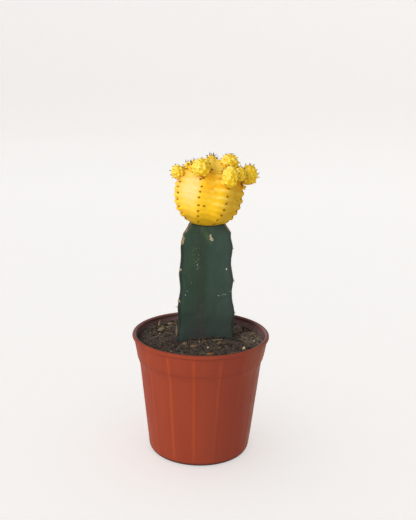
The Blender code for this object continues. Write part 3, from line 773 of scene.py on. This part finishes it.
PALE_CHIPS = (1, 2, 3, 4, 5, 10)
GRAIN_SHARES = (0.55, 0.55, 0.6, 0.55, 0.78, 0.72, 0.8)
ODD_GRAINS = {5: amber_grain, 7: pale_bark}
for node in sorted(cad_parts):
    kind, _, number = node.rpartition("_")
    if kind == "bark_chip":
        piece = copy_of(node, node + "_rough", 0.16, 2)
        taper(piece, 0.7)
        for size, depth in ((2.4, 0.45), (0.9, 0.22), (0.35, 0.06)):
            roughen(piece, size, depth)
        fit(piece, pale_bark if int(number) in PALE_CHIPS else bark, "bark", node)
    elif kind == "perlite_grain":
        piece = copy_of(node, node + "_popped", 0.14, 3)
        shrink(piece, GRAIN_SHARES[int(number) - 1])
        roughen(piece, 0.8, 0.22)
        fit(piece, ODD_GRAINS.get(int(number), perlite), "perlite", node)
    elif kind == "straw":
        piece = copy_of(node, node + "_stalk", 0.09, 1)
        roughen(piece, 0.8, 0.06)
        fit(piece, straw, "straw", node)

# %% [markdown]
# ## Rootstock
#
# The stock is a cut length of three-ribbed stem. Its ribs swell at each areole, the small
# cushion where spines grow, and where the grower pared the ribs back under the graft the cut
# has healed to tan cork. A fine copy of the fixed stem is softened, its skin is given a slight
# unevenness, and cork and scratches are painted where they belong. The crests and the front
# valley get painted shade, and the right front face painted light.

# %% Shape of the rootstock
PARED, CUT = 138.6, 144.0
AREOLE_SPACING = 20.5


def rib_reach(rib, height):
    """How far a rib's crest stands from the stem's axis, in mm."""
    _, at_soil, at_top, at_cut, areole = RIBS[rib]
    reach = np.interp(height, [SOIL, PARED], [at_soil, at_top])
    reach = reach + 0.6 * np.cos(TAU * (height - areole) / AREOLE_SPACING)
    return reach + (at_cut - reach) * ramp(height, PARED, CUT)


def along_rib(rib, places):
    """Distance out along a rib and sideways from it, for each place in mm."""
    turn = math.radians(RIBS[rib][0])
    off = places[:, :2] - STEM
    return (off[:, 0] * math.cos(turn) + off[:, 1] * math.sin(turn),
            -off[:, 0] * math.sin(turn) + off[:, 1] * math.cos(turn))


stem = copy_of("rootstock", "rootstock_stem", 0.42, 8)
roughen(stem, 9.0, 0.35)
roughen(stem, 2.4, 0.06)
spot = points_of(stem)
height = spot[:, 2]
crest = np.zeros(len(spot))
for rib in RIBS:
    out, side = along_rib(rib, spot)
    near = np.hypot(np.maximum(rib_reach(rib, height) - out, 0.0), side)
    crest = np.maximum(crest, bell(near, 1.7))
    for number in range(-1, 3):
        areole = RIBS[rib][4] + AREOLE_SPACING * number
        if SOIL < areole < PARED:
            push(stem, bell(np.hypot(near, height - areole), 1.6), 0.35)
# Painted shade: the rib crests below the pared top are painted near black, a dark line along each
# edge.
stain(stem, "crest", crest * ramp(height, PARED + 2.0, PARED - 2.0))

# The right shoulder swells a little; the back of the left one was cut deeper.
out, side = along_rib("right", spot)
near = np.hypot(np.maximum(18.0 - out, 0.0), side)
push(stem, bell(near, 4.0) * bell(height - 139.6, 2.6), 0.9)
out, side = along_rib("left", spot)
on_crest = ramp(out - rib_reach("left", height), -3.5, -1.5)
push(stem, on_crest * ramp(side, 1.5, -2.0) * ramp(height, 131.0, 138.0), -1.2)
print("stem", len(stem.data.polygons))

# %% Cork, streak and dust painted on the stem, with painted light and shade on its front
# Each strip of cork: its lower end, its two edges and its dark seam beside the crest, how deep
# it goes, and how far it slips to the back of the rib on its way up.
STRIPS = {
    "left": (131.5, -5.8, 1.7, 0.1, 6.0, 5.2),
    "right": (138.0, -1.7, 2.3, 0.5, 3.2, 0.0),
    "rear": (138.4, -2.0, 2.0, 0.0, 3.2, 0.0),
}

spot = points_of(stem)
height = spot[:, 2]
cork = np.zeros(len(spot))
pale = np.zeros(len(spot))
for rib, (low, left, right, seam, depth, slip) in STRIPS.items():
    out, side = along_rib(rib, spot)
    slip = slip * ramp(height, 137.2, 141.8)
    on_crest = ramp(out - rib_reach(rib, height), -depth, 1.0 - depth)
    between = ramp(np.minimum(right - slip - side, side - left), 0.0, 0.8)
    above = ramp(height - 2.2 * np.maximum(-side - 1.5, 0.0), low, low + 3.5)
    cork = np.maximum(cork, on_crest * between * above)
    outer_half = np.where(side < seam - slip, 0.62, 1.0)
    pale = np.maximum(pale, on_crest * outer_half * (1.0 - bell(side - seam + slip, 0.65)))
pale = np.maximum(pale, 0.55 * ramp(height, 138.0, 135.0))
dark_knot = 0.9 * bell(height - 136.7, 0.9) * bell(spot[:, 0] + 14.5, 3.0)
stain(stem, "cork", cork)
stain(stem, "pale", pale * (1.0 - dark_knot))

front = spot[:, 1] < 0.0
lean = 1.3 + 3.2 * ramp(height, 141.0, 133.5)
stain(stem, "streak", front * bell(spot[:, 0] - lean, 1.35) * bell(height - 137.3, 4.0))
turn = np.degrees(np.arctan2(spot[:, 1] - STEM[1], spot[:, 0] - STEM[0]))
# Painted light and shade: the right front face is painted lighter, the valley between the front
# ribs darker.
stain(stem, "lit_face", ramp(turn, -86.0, -66.0) * ramp(turn, 0.0, -12.0))
stain(stem, "valley_shade", ramp(turn, -124.0, -104.0) * ramp(turn, -68.0, -86.0))
stain(stem, "olive", front * bell(spot[:, 0] + 7.5, 4.5) * bell(height - 125.0, 15.0))
near = np.hypot((spot[:, 0] + 3.3) / 0.8, (height - 124.0) / 2.2)
stain(stem, "dust", front * bell(near, 3.2))
print("cork on", int((cork > 0.5).sum()), "points of the stem")

# %% Skin of the rootstock
skin = finish_named("rootstock_skin", 0.5, 0.15)
mottle = noise(6.0, 4.0, 0.6, (1.0, 1.0, 2.2))
soft_mottle = sort(mottle, 0.32, 0.70)
green = blend(soft_mottle, (0.024, 0.048, 0.032), (0.034, 0.065, 0.044))
# Colours of the painted shade in the valley and the painted light on the right face.
valley_shade = blend(soft_mottle, (0.027, 0.043, 0.028), (0.036, 0.054, 0.036))
lit_face = blend(soft_mottle, (0.033, 0.058, 0.042), (0.043, 0.072, 0.054))
green = coats(green, ("valley_shade", 1.0, valley_shade), ("lit_face", 1.0, lit_face),
              ("olive", 0.4, (0.034, 0.063, 0.031)))
foot_tone = coats((0.042, 0.058, 0.049), ("valley_shade", 1.0, (0.056, 0.055, 0.053)))
green = blend(sort(along("Z"), 0.072, 0.098), foot_tone, green)
green = coats(green, ("streak", 0.85, (0.055, 0.112, 0.040)))
speckle = sort(noise(0.8, 2.0, 0.5), 0.60, 0.70)
speckle = times(times(speckle, painted("dust")), 0.55)
green = blend(speckle, green, (0.13, 0.18, 0.10))
flecks = sort(noise(0.9, 1.0, 0.4), 0.70, 0.78, 0.0, 0.22)
green = blend(flecks, green, (0.11, 0.15, 0.12))
# Painted shade along the rib crests.
green = coats(green, ("crest", 0.8, (0.010, 0.016, 0.012)))
fine = sort(noise(0.9, 4.0, 0.65), 0.35, 0.65)
tan = coats(blend(fine, (0.036, 0.022, 0.014), (0.095, 0.062, 0.038)),
            ("pale", 1.0, blend(fine, (0.26, 0.165, 0.080), (0.52, 0.37, 0.20))))
edge = times(painted("cork"), times(noise(1.2, 4.0, 0.6), 0.5), "ADD")
wire(Base_Color=blend(sort(edge, 0.62, 0.82), green, tan),
     Roughness=sort(mottle, 0.3, 0.7, 0.42, 0.56))
bump(noise(0.7, 4.0, 0.6), 0.10, 0.45)
fit(stem, skin, "rootstock_skin", "rootstock")


# %% Healed scar and cork buttons on the stem
def on_stem(x, z):
    """A point on the front skin of the stem, and the skin's normal there, both in mm."""
    _, place, normal, _ = stem.ray_cast(Vector((x, -60.0, z)) * MM, Vector((0.0, 1.0, 0.0)))
    return place / MM, normal


# Each scab: x, height, width, length and lean. Each button: its rib, height and size.
SCABS = ((4.7, 137.7, 0.75, 1.5, -0.5), (5.25, 136.5, 0.85, 1.7, -0.5),
         (5.8, 135.4, 1.05, 1.5, -0.3))
BUTTONS = (("left", 117.8, 1.5), ("left", 98.0, 1.5), ("right", 129.4, 0.7), ("right", 109.4, 0.95),
           ("right", 88.6, 0.95), ("rear", 121.0, 0.8), ("rear", 100.5, 0.8), ("rear", 80.0, 0.8))
scab = finish_named("scar_cork", 0.9, 0.15)
dry = blend(painted("tint"), (0.24, 0.175, 0.095), (0.46, 0.39, 0.26))
wire(Base_Color=blend(sort(noise(0.9, 4.0, 0.6), 0.30, 0.48), (0.17, 0.100, 0.055), dry))
bump(noise(0.4, 4.0), 0.12, 0.9)
places = []
for x, z, width, length, lean in SCABS:
    place, normal = on_stem(x, z)
    turn = normal.to_track_quat("Z", "Y") @ Euler((0.0, 0.0, lean)).to_quaternion()
    places.append(placed(place, turn, (width, length, 0.45)))
for rib, z, size in BUTTONS:
    way = outward(RIBS[rib][0])
    places.append(placed(side_of(stem, way, z), way.to_track_quat("Z", "Y"),
                         (size, 0.8 * size, 0.55 * size)))
scar = strew("stem_scars", [rocks[0], rocks[2]], places,
             [1.0] * len(SCABS) + [0.35] * len(BUTTONS))
change(scar, "SUBSURF", levels=1, render_levels=1)
fit(scar, scab, "rootstock_skin")

# %% Specks of lime and dust on the stem
# Each speck: x, height and size.
WHITE_SPECKS = (
    (-2.8, 120.4, 0.42), (14.7, 116.8, 0.55), (-9.7, 101.9, 0.38), (10.4, 100.2, 0.34),
    (17.5, 102.6, 0.36), (13.0, 100.9, 0.24), (13.9, 100.6, 0.2), (14.6, 100.9, 0.22),
    (12.3, 100.4, 0.18), (-6.2, 109.4, 0.2), (-2.5, 118.2, 0.2), (-3.6, 122.4, 0.2),
    (3.0, 89.2, 0.16), (-8.6, 104.0, 0.16), (0.4, 95.0, 0.14),
)
DIM_SPECKS = (
    (-5.6, 129.2, 0.25), (-4.9, 130.3, 0.22), (-3.2, 130.2, 0.25), (-1.6, 130.6, 0.3),
    (-5.9, 126.8, 0.25), (-4.8, 126.4, 0.2), (-2.3, 126.4, 0.25), (-5.0, 124.0, 0.25),
    (-2.2, 123.6, 0.3), (-4.4, 121.8, 0.22), (-1.9, 121.4, 0.2), (-2.2, 119.2, 0.28),
    (-3.2, 117.4, 0.22), (-7.6, 113.6, 0.3), (-7.2, 112.2, 0.22),
)
rng = random.Random(5)
places, tints = [], []
for specks, tint, share in ((WHITE_SPECKS, 1.0, 1.0), (DIM_SPECKS, 0.0, 1.3)):
    for x, z, size in specks:
        place, normal = on_stem(x, z)
        size *= share
        places.append(placed(place + normal * 0.3 * size, tumbled(rng), (size, size, size)))
        tints.append(tint)
dust = strew("stem_dust", rocks, places, tints)
lime = finish_named("lime_dust", 0.9)
white = blend(noise(0.3, 3.0), (0.42, 0.46, 0.43), (0.80, 0.83, 0.80))
wire(Base_Color=coats((0.120, 0.165, 0.100), ("tint", 1.0, white)))
bump(noise(0.2, 3.0), 0.05, 0.8)
fit(dust, lime, "perlite")

# %% [markdown]
# ## Areoles and spines
#
# An areole is a felt cushion that carries a few short curved spines. One cushion and one spine
# are modelled, a spine by extruding a small ring three times while it narrows and bends, and
# both are then set all over the plant. Young areoles have paler felt.

# %% One cushion, one spine and the way they are set
bpy.ops.object.select_all(action="DESELECT")
bpy.ops.mesh.primitive_circle_add(vertices=5, radius=0.12, fill_type="NGON")
spine = settle(bpy.context.object, "spine")
with editing(spine):
    for shift, share in ((0.02, 0.85), (0.07, 0.7), (0.14, 0.15)):
        step = (shift, 0.0, 1.0 / 3.0)
        bpy.ops.mesh.extrude_region_move(TRANSFORM_OT_translate={"value": step})
        bpy.ops.transform.resize(value=(share, share, 1.0))
    bpy.ops.mesh.select_all(action="SELECT")
    bpy.ops.mesh.normals_make_consistent(inside=False)
cushion, young_cushion = small_rock(3, 0.8), small_rock(3, 0.8)

felt = mottled("areole_felt", 0.95, 0.05, (0.5, 3.0), (0.3, 0.7), (0.170, 0.062, 0.008),
               (0.46, 0.21, 0.028), ((0.12, 2.0), 0.05, 0.8))
young_felt = mottled("young_felt", 0.95, 0.05, (0.5, 3.0), (0.3, 0.7), (0.42, 0.19, 0.018),
                     (0.72, 0.42, 0.05))
horn = mottled("spine_horn", 0.5, 0.1, (0.9, 2.0), (0.35, 0.65), (0.080, 0.040, 0.016),
               (0.24, 0.115, 0.034))
for master, material in ((spine, horn), (cushion, felt), (young_cushion, young_felt)):
    master.data.materials.append(material)


def spines_at(spot, turn, count, length, rng, lean, thick):
    """Placings of the spines of one areole, fanned out round the way it faces."""
    needles = []
    start = rng.uniform(0.0, TAU)
    for number in range(count):
        swing = start + TAU * (number + rng.uniform(-0.2, 0.2)) / count
        tilt = turn @ Euler((0.0, lean * rng.uniform(0.6, 1.1), swing), "XYZ").to_quaternion()
        needles.append(placed(spot, tilt, (thick, thick, length * rng.uniform(0.75, 1.2))))
    return needles


def dress(piece, name, spots, rng, lean=0.9, thick=1.0, masters=(cushion,)):
    """Set areoles on a skin and join them to it. Each spot: place, normal, size, spines, length."""
    cushions, needles = [], []
    for place, normal, size, count, length in spots:
        turn = normal.to_track_quat("Z", "Y")
        cushions.append(placed(place, turn, (1.05 * size, 0.68 * size, 0.42 * size)))
        needles += spines_at(place, turn, count, length, rng, lean, thick)
    parts = [piece, strew("pads", masters, cushions)]
    if needles:
        parts.append(strew("pins", [spine], needles))
    return join(name, parts)


print("spine faces", len(spine.data.polygons))

# %% Short spines on the rootstock
# Each tuft: its rib, height, number of spines and their length.
TUFTS = (("left", 94.2, 3, 2.0), ("left", 115.0, 1, 0.9), ("left", 98.6, 1, 1.0),
         ("right", 88.2, 2, 1.0), ("right", 109.0, 2, 1.1), ("right", 129.2, 2, 0.9),
         ("rear", 80.0, 2, 1.1), ("rear", 100.5, 3, 1.2), ("rear", 121.0, 2, 1.1))
rng = random.Random(21)
needles = []
for rib, z, count, length in TUFTS:
    way = outward(RIBS[rib][0])
    needles += spines_at(side_of(stem, way, z), way.to_track_quat("Z", "Y"), count, length, rng,
                         0.7, 2.0)
fit(strew("stem_spines", [spine], needles), None, "rootstock_skin")

# %% [markdown]
# ## Scion
#
# The ball has eight ribs round a tilted axis. Furrows are pushed in between them, and at each
# areole the rib rises in a small chin, with a crease across the rib between two chins. Places on
# it are given as longitude and latitude in degrees about that axis.

# %% Places on the scion
BALL = np.array([3.0, 5.5, 162.2])
BALL_RADIUS = 20.8
TILT = (Matrix.Rotation(math.radians(9.85), 3, "Y") @ Matrix.Rotation(math.radians(-6.5), 3, "X"))
# For each rib: its longitude, how high its chins rise, how far its areoles lie off its crest,
# and the latitudes of its areoles.
RIB_TURNS = np.array((-159.0, -105.2, -58.5, -6.0, 38.0, 80.0, 122.0, 162.0))
CHIN_RISE = np.array((1.05, 0.28, 0.42, 0.65, 0.7, 0.7, 0.7, 0.7))
AREOLE_SHIFT = (6.0, 0.0, 0.0, -7.0, 0.0, 0.0, 0.0, 0.0)
AREOLES = (
    (34.0, 22.0, 10.3, 2.3, -8.0, -19.0, -31.0, -43.0, -54.0),
    (38.0, 24.7, 10.6, 1.9, -7.6, -20.7, -31.2, -41.6, -54.9),
    (40.0, 29.0, 15.2, 2.1, -10.1, -21.1, -31.5, -43.0, -54.2),
    (38.0, 26.0, 13.5, 0.5, -11.0, -21.6, -33.0, -44.0, -56.0),
    (35.0, 22.5, 9.0, -2.0, -14.0, -26.0, -36.0, -48.0),
    (40.0, 27.0, 15.5, 4.0, -7.5, -19.5, -30.0, -42.0, -54.0),
    (36.0, 24.0, 11.0, 0.5, -11.0, -22.5, -35.0, -47.0),
    (41.0, 30.0, 18.0, 6.0, -5.0, -16.0, -28.5, -39.0, -51.0),
)
# Areoles off the rows: longitude, latitude and size.
EXTRA_AREOLES = (
    (-95.5, -21.0, 0.9), (-61.0, 17.5, 0.95), (-26.6, -2.4, 0.6), (-107.0, 56.7, 0.9),
    (-94.0, 44.3, 0.9), (-68.5, 45.5, 0.9), (-71.0, 29.9, 1.0), (-156.6, 46.5, 1.3),
    (-169.3, 43.4, 1.0), (-160.0, 56.0, 1.4), (-109.8, 22.0, 1.0), (-105.2, 24.7, 0.9),
)
CHIN_DROP = 3.6     # degrees from an areole down to the top of its chin
# Each offset: azimuth, elevation and distance of its middle from the ball's middle, its
# half-width, its half-length, and how far its tip leans from outward to upright.
OFFSETS = {
    "offset_left": (-161.0, 34.0, 23.4, 4.3, 4.6, 0.3),
    "offset_left_rear": (141.0, 42.0, 20.9, 3.5, 3.4, 0.3),
    "offset_front": (-106.0, 45.8, 24.3, 5.4, 5.5, 0.5),
    "offset_crown_right": (-18.5, 56.5, 22.9, 5.5, 5.1, 0.6),
    "offset_front_right": (-54.8, 29.9, 24.6, 4.9, 7.1, 0.9),
    "offset_right": (-24.0, 32.5, 23.6, 4.0, 4.4, 0.6),
    "offset_far_right": (1.5, 24.6, 26.3, 5.4, 6.6, 0.9),
    "offset_bud": (-13.0, 12.0, 21.6, 1.4, 1.7, 0.2),
    "offset_rear_right": (40.0, 28.5, 23.6, 4.3, 4.4, 0.4),
    "offset_rear": (78.0, 30.0, 24.4, 5.0, 5.3, 0.5),
    "offset_rear_left": (116.0, 33.0, 23.8, 4.4, 4.6, 0.4),
    "offset_crown_rear": (84.0, 56.0, 21.4, 3.6, 3.7, 0.6),
    "offset_low_left": (135.0, 4.0, 22.4, 3.1, 3.4, 0.5),
    "offset_low_right": (54.0, 6.0, 22.2, 2.9, 3.1, 0.5),
}


def around_axis(places, turn):
    """Longitude and latitude in degrees of each place, about an axis turned by a matrix."""
    local = places @ np.array(turn)
    local /= np.linalg.norm(local, axis=1)[:, None]
    return np.degrees(np.arctan2(local[:, 1], local[:, 0])), np.degrees(np.arcsin(local[:, 2]))


def from_ribs(lon):
    """The rib nearest to each longitude, and how far off its crest it lies, from -0.5 to 0.5."""
    turns = np.append(RIB_TURNS, RIB_TURNS[0] + 360.0)
    share = np.interp((lon - turns[0]) % 360.0 + turns[0], turns, np.arange(9))
    return np.rint(share).astype(int) % 8, share - np.rint(share)


def chins(rib, lat):
    """1 on the chin just below each areole, falling to 0 between two chins."""
    rise = np.zeros(len(lat))
    for number, row in enumerate(AREOLES):
        mine = rib == number
        for up in row:
            above = lat[mine] - up + CHIN_DROP
            rise[mine] = np.maximum(rise[mine], bell(above, np.where(above > 0.0, 3.4, 4.8)))
    return rise


def ripples(lon, lat, width):
    """Level ripples across the front of the crown, above the last areoles."""
    return bell((lat - 40.0) % 6.5 - 3.2, width) * ramp(lat, 38.0, 43.0) * bell(lon + 75.0, 45.0)


print(len(AREOLES), "ribs and", len(OFFSETS), "offsets placed")

# %% Shape of the scion
bpy.ops.object.select_all(action="DESELECT")
bpy.ops.mesh.primitive_uv_sphere_add(segments=256, ring_count=150, radius=BALL_RADIUS * MM,
                                     location=Vector(BALL) * MM, rotation=TILT.to_euler())
ball = settle(bpy.context.object, "scion_body")
bpy.ops.object.shade_smooth()

lon, lat = around_axis(points_of(ball) - BALL, TILT)
rib, off = from_ribs(lon)
furrow = 0.5 - 0.5 * np.cos(TAU * off)
fade = np.cos(np.radians(lat)) ** 0.5 * ramp(lat, -68.0, -38.0)
push(ball, furrow * fade, -1.3)
push(ball, bell(lat + 8.0, 30.0), -0.7)
rise = chins(rib, lat)
near_crest = bell(45.0 * off * np.cos(np.radians(lat)), 7.5)
push(ball, rise * near_crest * fade * CHIN_RISE[rib], 2.0)
fold = ramp(lat, -58.0, -33.0) * np.maximum(bell(lon + 73.0, 15.0), 0.6 * bell(lon + 128.0, 18.0))
push(ball, rise * (1.0 - near_crest) * (0.25 + 0.75 * fold) * fade, 0.6)
push(ball, ripples(lon, lat, 1.3), 0.15)

with editing(ball):
    bpy.ops.mesh.bisect(plane_co=(0.0, 0.0, (CUT + 0.3) * MM), plane_no=(0.0, 0.0, -1.0),
                        use_fill=True, clear_outer=True)
print("ball", len(ball.data.polygons))

# %% Painted highlights on the face and folds, blush and painted shade on the scion
places = points_of(ball)
lon, lat = around_axis(places - BALL, TILT)
rib, off = from_ribs(lon)
folds = chins(rib, lat) ** 2.0
# Painted highlight: fold tops on the lit front band are painted pale, and the crown paler as
# painted light.
ridge_highlight = folds * (0.15 + 0.85 * bell(lon + 71.0, 14.0)) * ramp(lat, -26.0, -14.0)
crown = ripples(lon, lat, 1.4) + 0.3 * ramp(lat, 40.0, 48.0)
stain(ball, "ridge_highlight", np.maximum(ridge_highlight, crown))

# Painted highlight: the left face, towards the lamp, is painted pale cream in place of a broad
# shine.
left_face = bell(lon + 126.0, 23.0) * bell(lat - 4.0, 27.0) * ramp(lon, -103.0, -110.0)
stain(ball, "painted_highlight", 1.3 * (0.72 + 0.28 * folds) * left_face)

# Right of the front rib the orange is both blush and painted shade; round the offsets it is blush.
blush = 0.75 * bell(lon + 88.0, 14.0) * ramp(lat, -10.0, 6.0) * ramp(lat, 46.0, 34.0)
for azimuth, elevation, _, wide, _, _ in OFFSETS.values():
    foot = BALL + np.array(outward(azimuth, elevation)) * BALL_RADIUS
    away = np.maximum(np.linalg.norm(places - foot, axis=1) - 0.8 * wide, 0.0)
    blush = np.maximum(blush, 0.7 * bell(away, 3.0))
stain(ball, "blush", blush)

# Painted shade: the bottom, the right side and the back of the ball are painted darker.
stain(ball, "under", ramp(places[:, 2], BALL[2] - 15.5, BALL[2] - 20.5))
turned_to = (lon + 360.0) % 360.0
right = ramp(turned_to, 286.0, 320.0) * ramp(lat, 48.0, 34.0) + 0.6 * (turned_to < 190.0)
stain(ball, "deep", np.maximum(right, ramp(lat, -31.0, -51.0)))
print("blush on", int((blush > 0.5).sum()), "points of the ball")

# %% Skin of the scion and its offsets
FLESH = dict(Subsurface_Weight=0.08, Subsurface_Radius=(0.004, 0.002, 0.0005), Subsurface_Scale=1.0)
yellow = finish_named("scion_skin", 0.55, 0.06, **FLESH)
patch = sort(noise(6.0, 4.0, 0.6, (1.0, 1.0, 0.6)), 0.35, 0.68)
# Deep colours for the painted shade on the right, back and bottom.
deep = blend(patch, (0.55, 0.305, 0.008), (0.66, 0.405, 0.011))
base = blend(patch, (0.93, 0.53, 0.016), (0.96, 0.60, 0.022))
base = coats(base, ("deep", 1.0, deep))
cloudy = noise(3.2, 4.0, 0.6, (1.0, 1.0, 0.35))
# Blush, painted highlights on the folds and the lamp side, and painted shade underneath.
for name, cover, colour in (
        ("blush", sort(noise(3.0, 3.0), 0.25, 0.6), (0.82, 0.34, 0.008)),
        ("ridge_highlight", sort(noise(3.5, 3.0), 0.35, 0.6, 0.4, 1.0), (0.96, 0.74, 0.14)),
        ("painted_highlight", sort(cloudy, 0.2, 0.6, 0.65, 1.0), (0.90, 0.62, 0.25)),
        ("under", 0.6, (0.40, 0.245, 0.024))):
    base = blend(times(painted(name), cover), base, colour)
pores = sort(noise(0.9, 3.0, 0.6), 0.66, 0.74, 0.0, 0.4)
base = blend(pores, base, (0.42, 0.19, 0.012))
freckles = sort(noise(1.5, 5.0, 0.7), 0.35, 0.65, 0.0, 0.22)
base = blend(freckles, base, (0.55, 0.27, 0.012))
wire(Base_Color=base)
bump(noise(0.8, 4.0, 0.6), 0.10, 0.4)

lemon = finish_named("offset_skin", 0.55, 0.06, **FLESH)
patch = sort(noise(3.0, 3.0), 0.35, 0.65)
tops = blend(patch, (0.90, 0.62, 0.026), (0.93, 0.69, 0.060))
# Paler knob tops on the side facing the lamp: painted highlight.
highlit_tops = blend(patch, (0.94, 0.67, 0.13), (0.95, 0.73, 0.23))
shade = blend(patch, (0.62, 0.38, 0.010), (0.78, 0.52, 0.018))
# Knob tops lighter than the hollows, and paler towards the lamp: painted highlight and shade.
base = blend(sort(painted("ridge_highlight"), 0.0, 0.5),
             coats((0.80, 0.47, 0.012), ("painted_highlight", 1.0, (0.95, 0.64, 0.050))),
             coats(tops, ("painted_highlight", 1.0, highlit_tops)))
base = coats(base, ("blush", 1.0, (0.70, 0.30, 0.012)), ("shade", 1.0, shade))
freckles = sort(noise(0.8, 4.0, 0.65), 0.54, 0.66, 0.0, 0.45)
base = blend(freckles, base, (0.58, 0.33, 0.014))
wire(Base_Color=base)
bump(noise(0.6, 4.0, 0.6), 0.08, 0.4)
print("skins ready:", yellow.name, "and", lemon.name)

# %% Areoles set along the ribs of the scion
rng = random.Random(11)
ball.data.materials.append(yellow)
aims = [(RIB_TURNS[number] + AREOLE_SHIFT[number] + rng.uniform(-1.0, 1.0), up,
         rng.uniform(0.85, 1.1)) for number, row in enumerate(AREOLES) for up in row]
spots = []
for turn, up, size in [*aims, *EXTRA_AREOLES]:
    way = TILT @ outward(turn, up)
    hidden = any((way * 22.0 - outward(azimuth, elevation) * distance).length < 0.92 * wide
                 for azimuth, elevation, distance, wide, _, _ in OFFSETS.values())
    found, place, normal, _ = ball.ray_cast(Vector(BALL) * MM, way)
    if found and not hidden and place.z >= (CUT + 1.0) * MM:
        spots.append((place / MM, normal.lerp(way, 0.4), size, rng.choice((2, 3)),
                      rng.uniform(1.1, 1.6)))
ball = dress(ball, "scion_body", spots, rng)
fit(ball, None, "scion_skin", "scion")

# %% [markdown]
# ## Offsets
#
# Each young offset is a small ball of knobs, every knob tipped with an areole. A sphere is
# stretched to the offset's size and stood at its place, the knobs are pushed out on alternate
# rows, and its underside is drawn in towards the parent.

# %% Grow the offsets
# Each row of knobs: its latitude, and how many knobs stand in it.
KNOB_ROWS = ((74.0, 4), (46.0, 7), (18.0, 9), (-10.0, 9), (-37.0, 7))
BUD_ROWS = ((66.0, 3), (10.0, 5))
BOLD = ("offset_crown_rear", "offset_far_right", "offset_left_rear")    # dark areoles
SHADED = {"offset_far_right": 0.45, "offset_right": 0.1, "offset_bud": 0.4}
LONG_SPINES = {"offset_crown_rear": 1.7, "offset_left_rear": 1.3, "offset_far_right": 1.15}


def knobbed(lon, lat, rows, rng):
    """Height of irregular knobs on alternate rows, from 0 to 1, and where their tips lie."""
    height = np.zeros(len(lon))
    tips = []
    for number, (up, count) in enumerate(rows):
        for step in range(count):
            swing = 360.0 * (step + 0.5 * (number % 2)) / count + rng.uniform(-9.0, 9.0)
            up_here = up + rng.uniform(-7.0, 7.0)
            side = (lon - swing + 180.0) % 360.0 - 180.0
            near = np.hypot(side * np.cos(np.radians(lat)), lat - up_here)
            height = np.maximum(height, rng.uniform(0.55, 1.0) * ramp(near, 20.0, 0.0) ** 1.15)
            tips.append((swing, up_here))
    return height, tips


def grow_offset(name, row, seed):
    """One offset with its knobs, areoles and spines."""
    azimuth, elevation, distance, wide, tall, lean = row
    bud = wide < 2.0
    rng = random.Random(seed)
    way = outward(azimuth, elevation)
    place = Vector(BALL) + way * distance
    tip = (way * (1.0 - lean) + Vector((0.0, 0.0, lean))).normalized()
    turn = tip.to_track_quat("Z", "Y").to_matrix()
    bpy.ops.object.select_all(action="DESELECT")
    bpy.ops.mesh.primitive_uv_sphere_add(segments=84, ring_count=52, radius=0.88 * wide * MM,
                                         location=place * MM, rotation=turn.to_euler(),
                                         scale=(1.0, 1.0, tall / wide))
    piece = settle(bpy.context.object, name + "_body")
    bpy.ops.object.shade_smooth()
    lon, lat = around_axis(points_of(piece) - np.array(place), turn)
    height, tips = knobbed(lon, lat, BUD_ROWS if bud else KNOB_ROWS, rng)
    push(piece, height, 0.24 * wide)
    change(piece, "SMOOTH", factor=0.5, iterations=1)

    normals = np.empty(len(piece.data.vertices) * 3)
    piece.data.vertices.foreach_get("normal", normals)
    # Painted highlight: knob tops are painted lighter than the hollows between them.
    stain(piece, "ridge_highlight", height * 1.3)
    # Painted highlight: the side of the offset that faces the lamp is painted paler.
    stain(piece, "painted_highlight", 1.4 * (normals.reshape(-1, 3) @ np.array(LAMP_WAY)) - 0.5)
    stain(piece, "blush", np.full(len(height), 0.55 if bud else 0.0))
    stain(piece, "shade", np.full(len(height), SHADED.get(name, 0.0)))

    # The underside is drawn in to a neck that ends inside the parent.
    places = points_of(piece)
    inward = ramp(-((places - np.array(place)) @ np.array(way)) / wide, 0.5, 1.5)
    neck = max(distance - 0.9 * wide - BALL_RADIUS, 0.0) + 1.2
    places -= inward[:, None] ** 1.5 * np.array(way) * neck * 2.5
    piece.data.vertices.foreach_set("co", (places * MM).ravel())
    piece.data.materials.append(lemon)

    spots = []
    share = 0.6 if bud else 1.0
    for swing, up in tips:
        aim = turn @ outward(swing, up)
        found, hit, normal, _ = piece.ray_cast(place * MM, aim)
        if found and (hit / MM - Vector(BALL)).length > BALL_RADIUS + 0.3:
            size = rng.uniform(0.22, 0.45)
            length = rng.uniform(0.9, 1.4) * LONG_SPINES.get(name, 1.0)
            if len(spots) % 4 == 2:
                size *= 1.5
            spots.append((hit / MM, normal.lerp(aim, 0.7), share * size, rng.choice((0, 1, 1, 2)),
                          share * length))
    if name in BOLD:
        return dress(piece, name + "_body", spots, rng, 0.5, 2.4)
    return dress(piece, name + "_body", spots, rng, 0.5, 1.5,
                 (young_cushion, young_cushion, cushion, young_cushion))


for seed, (name, row) in enumerate(OFFSETS.items()):
    fit(grow_offset(name, row, seed), None, "offset_skin", name)

# %% Put away the masters
for master in [*rocks, fibre, spine, cushion, young_cushion]:
    bpy.data.objects.remove(master)
print("masters put away")

# %% [markdown]
# ## Closing the set
#
# The lamp lights only the plant and pot. The paper is lit by the sky and a faint glow of its own,
# and stays even near the plant, with just a soft shade round the foot of the pot. Further out it
# is painted darker as painted shade.

# %% Light the plant and pot, but not the paper, with the lamp
lit = bpy.data.collections.new("lit_by_lamp")
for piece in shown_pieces():
    lit.objects.link(piece)
key.light_linking.receiver_collection = lit
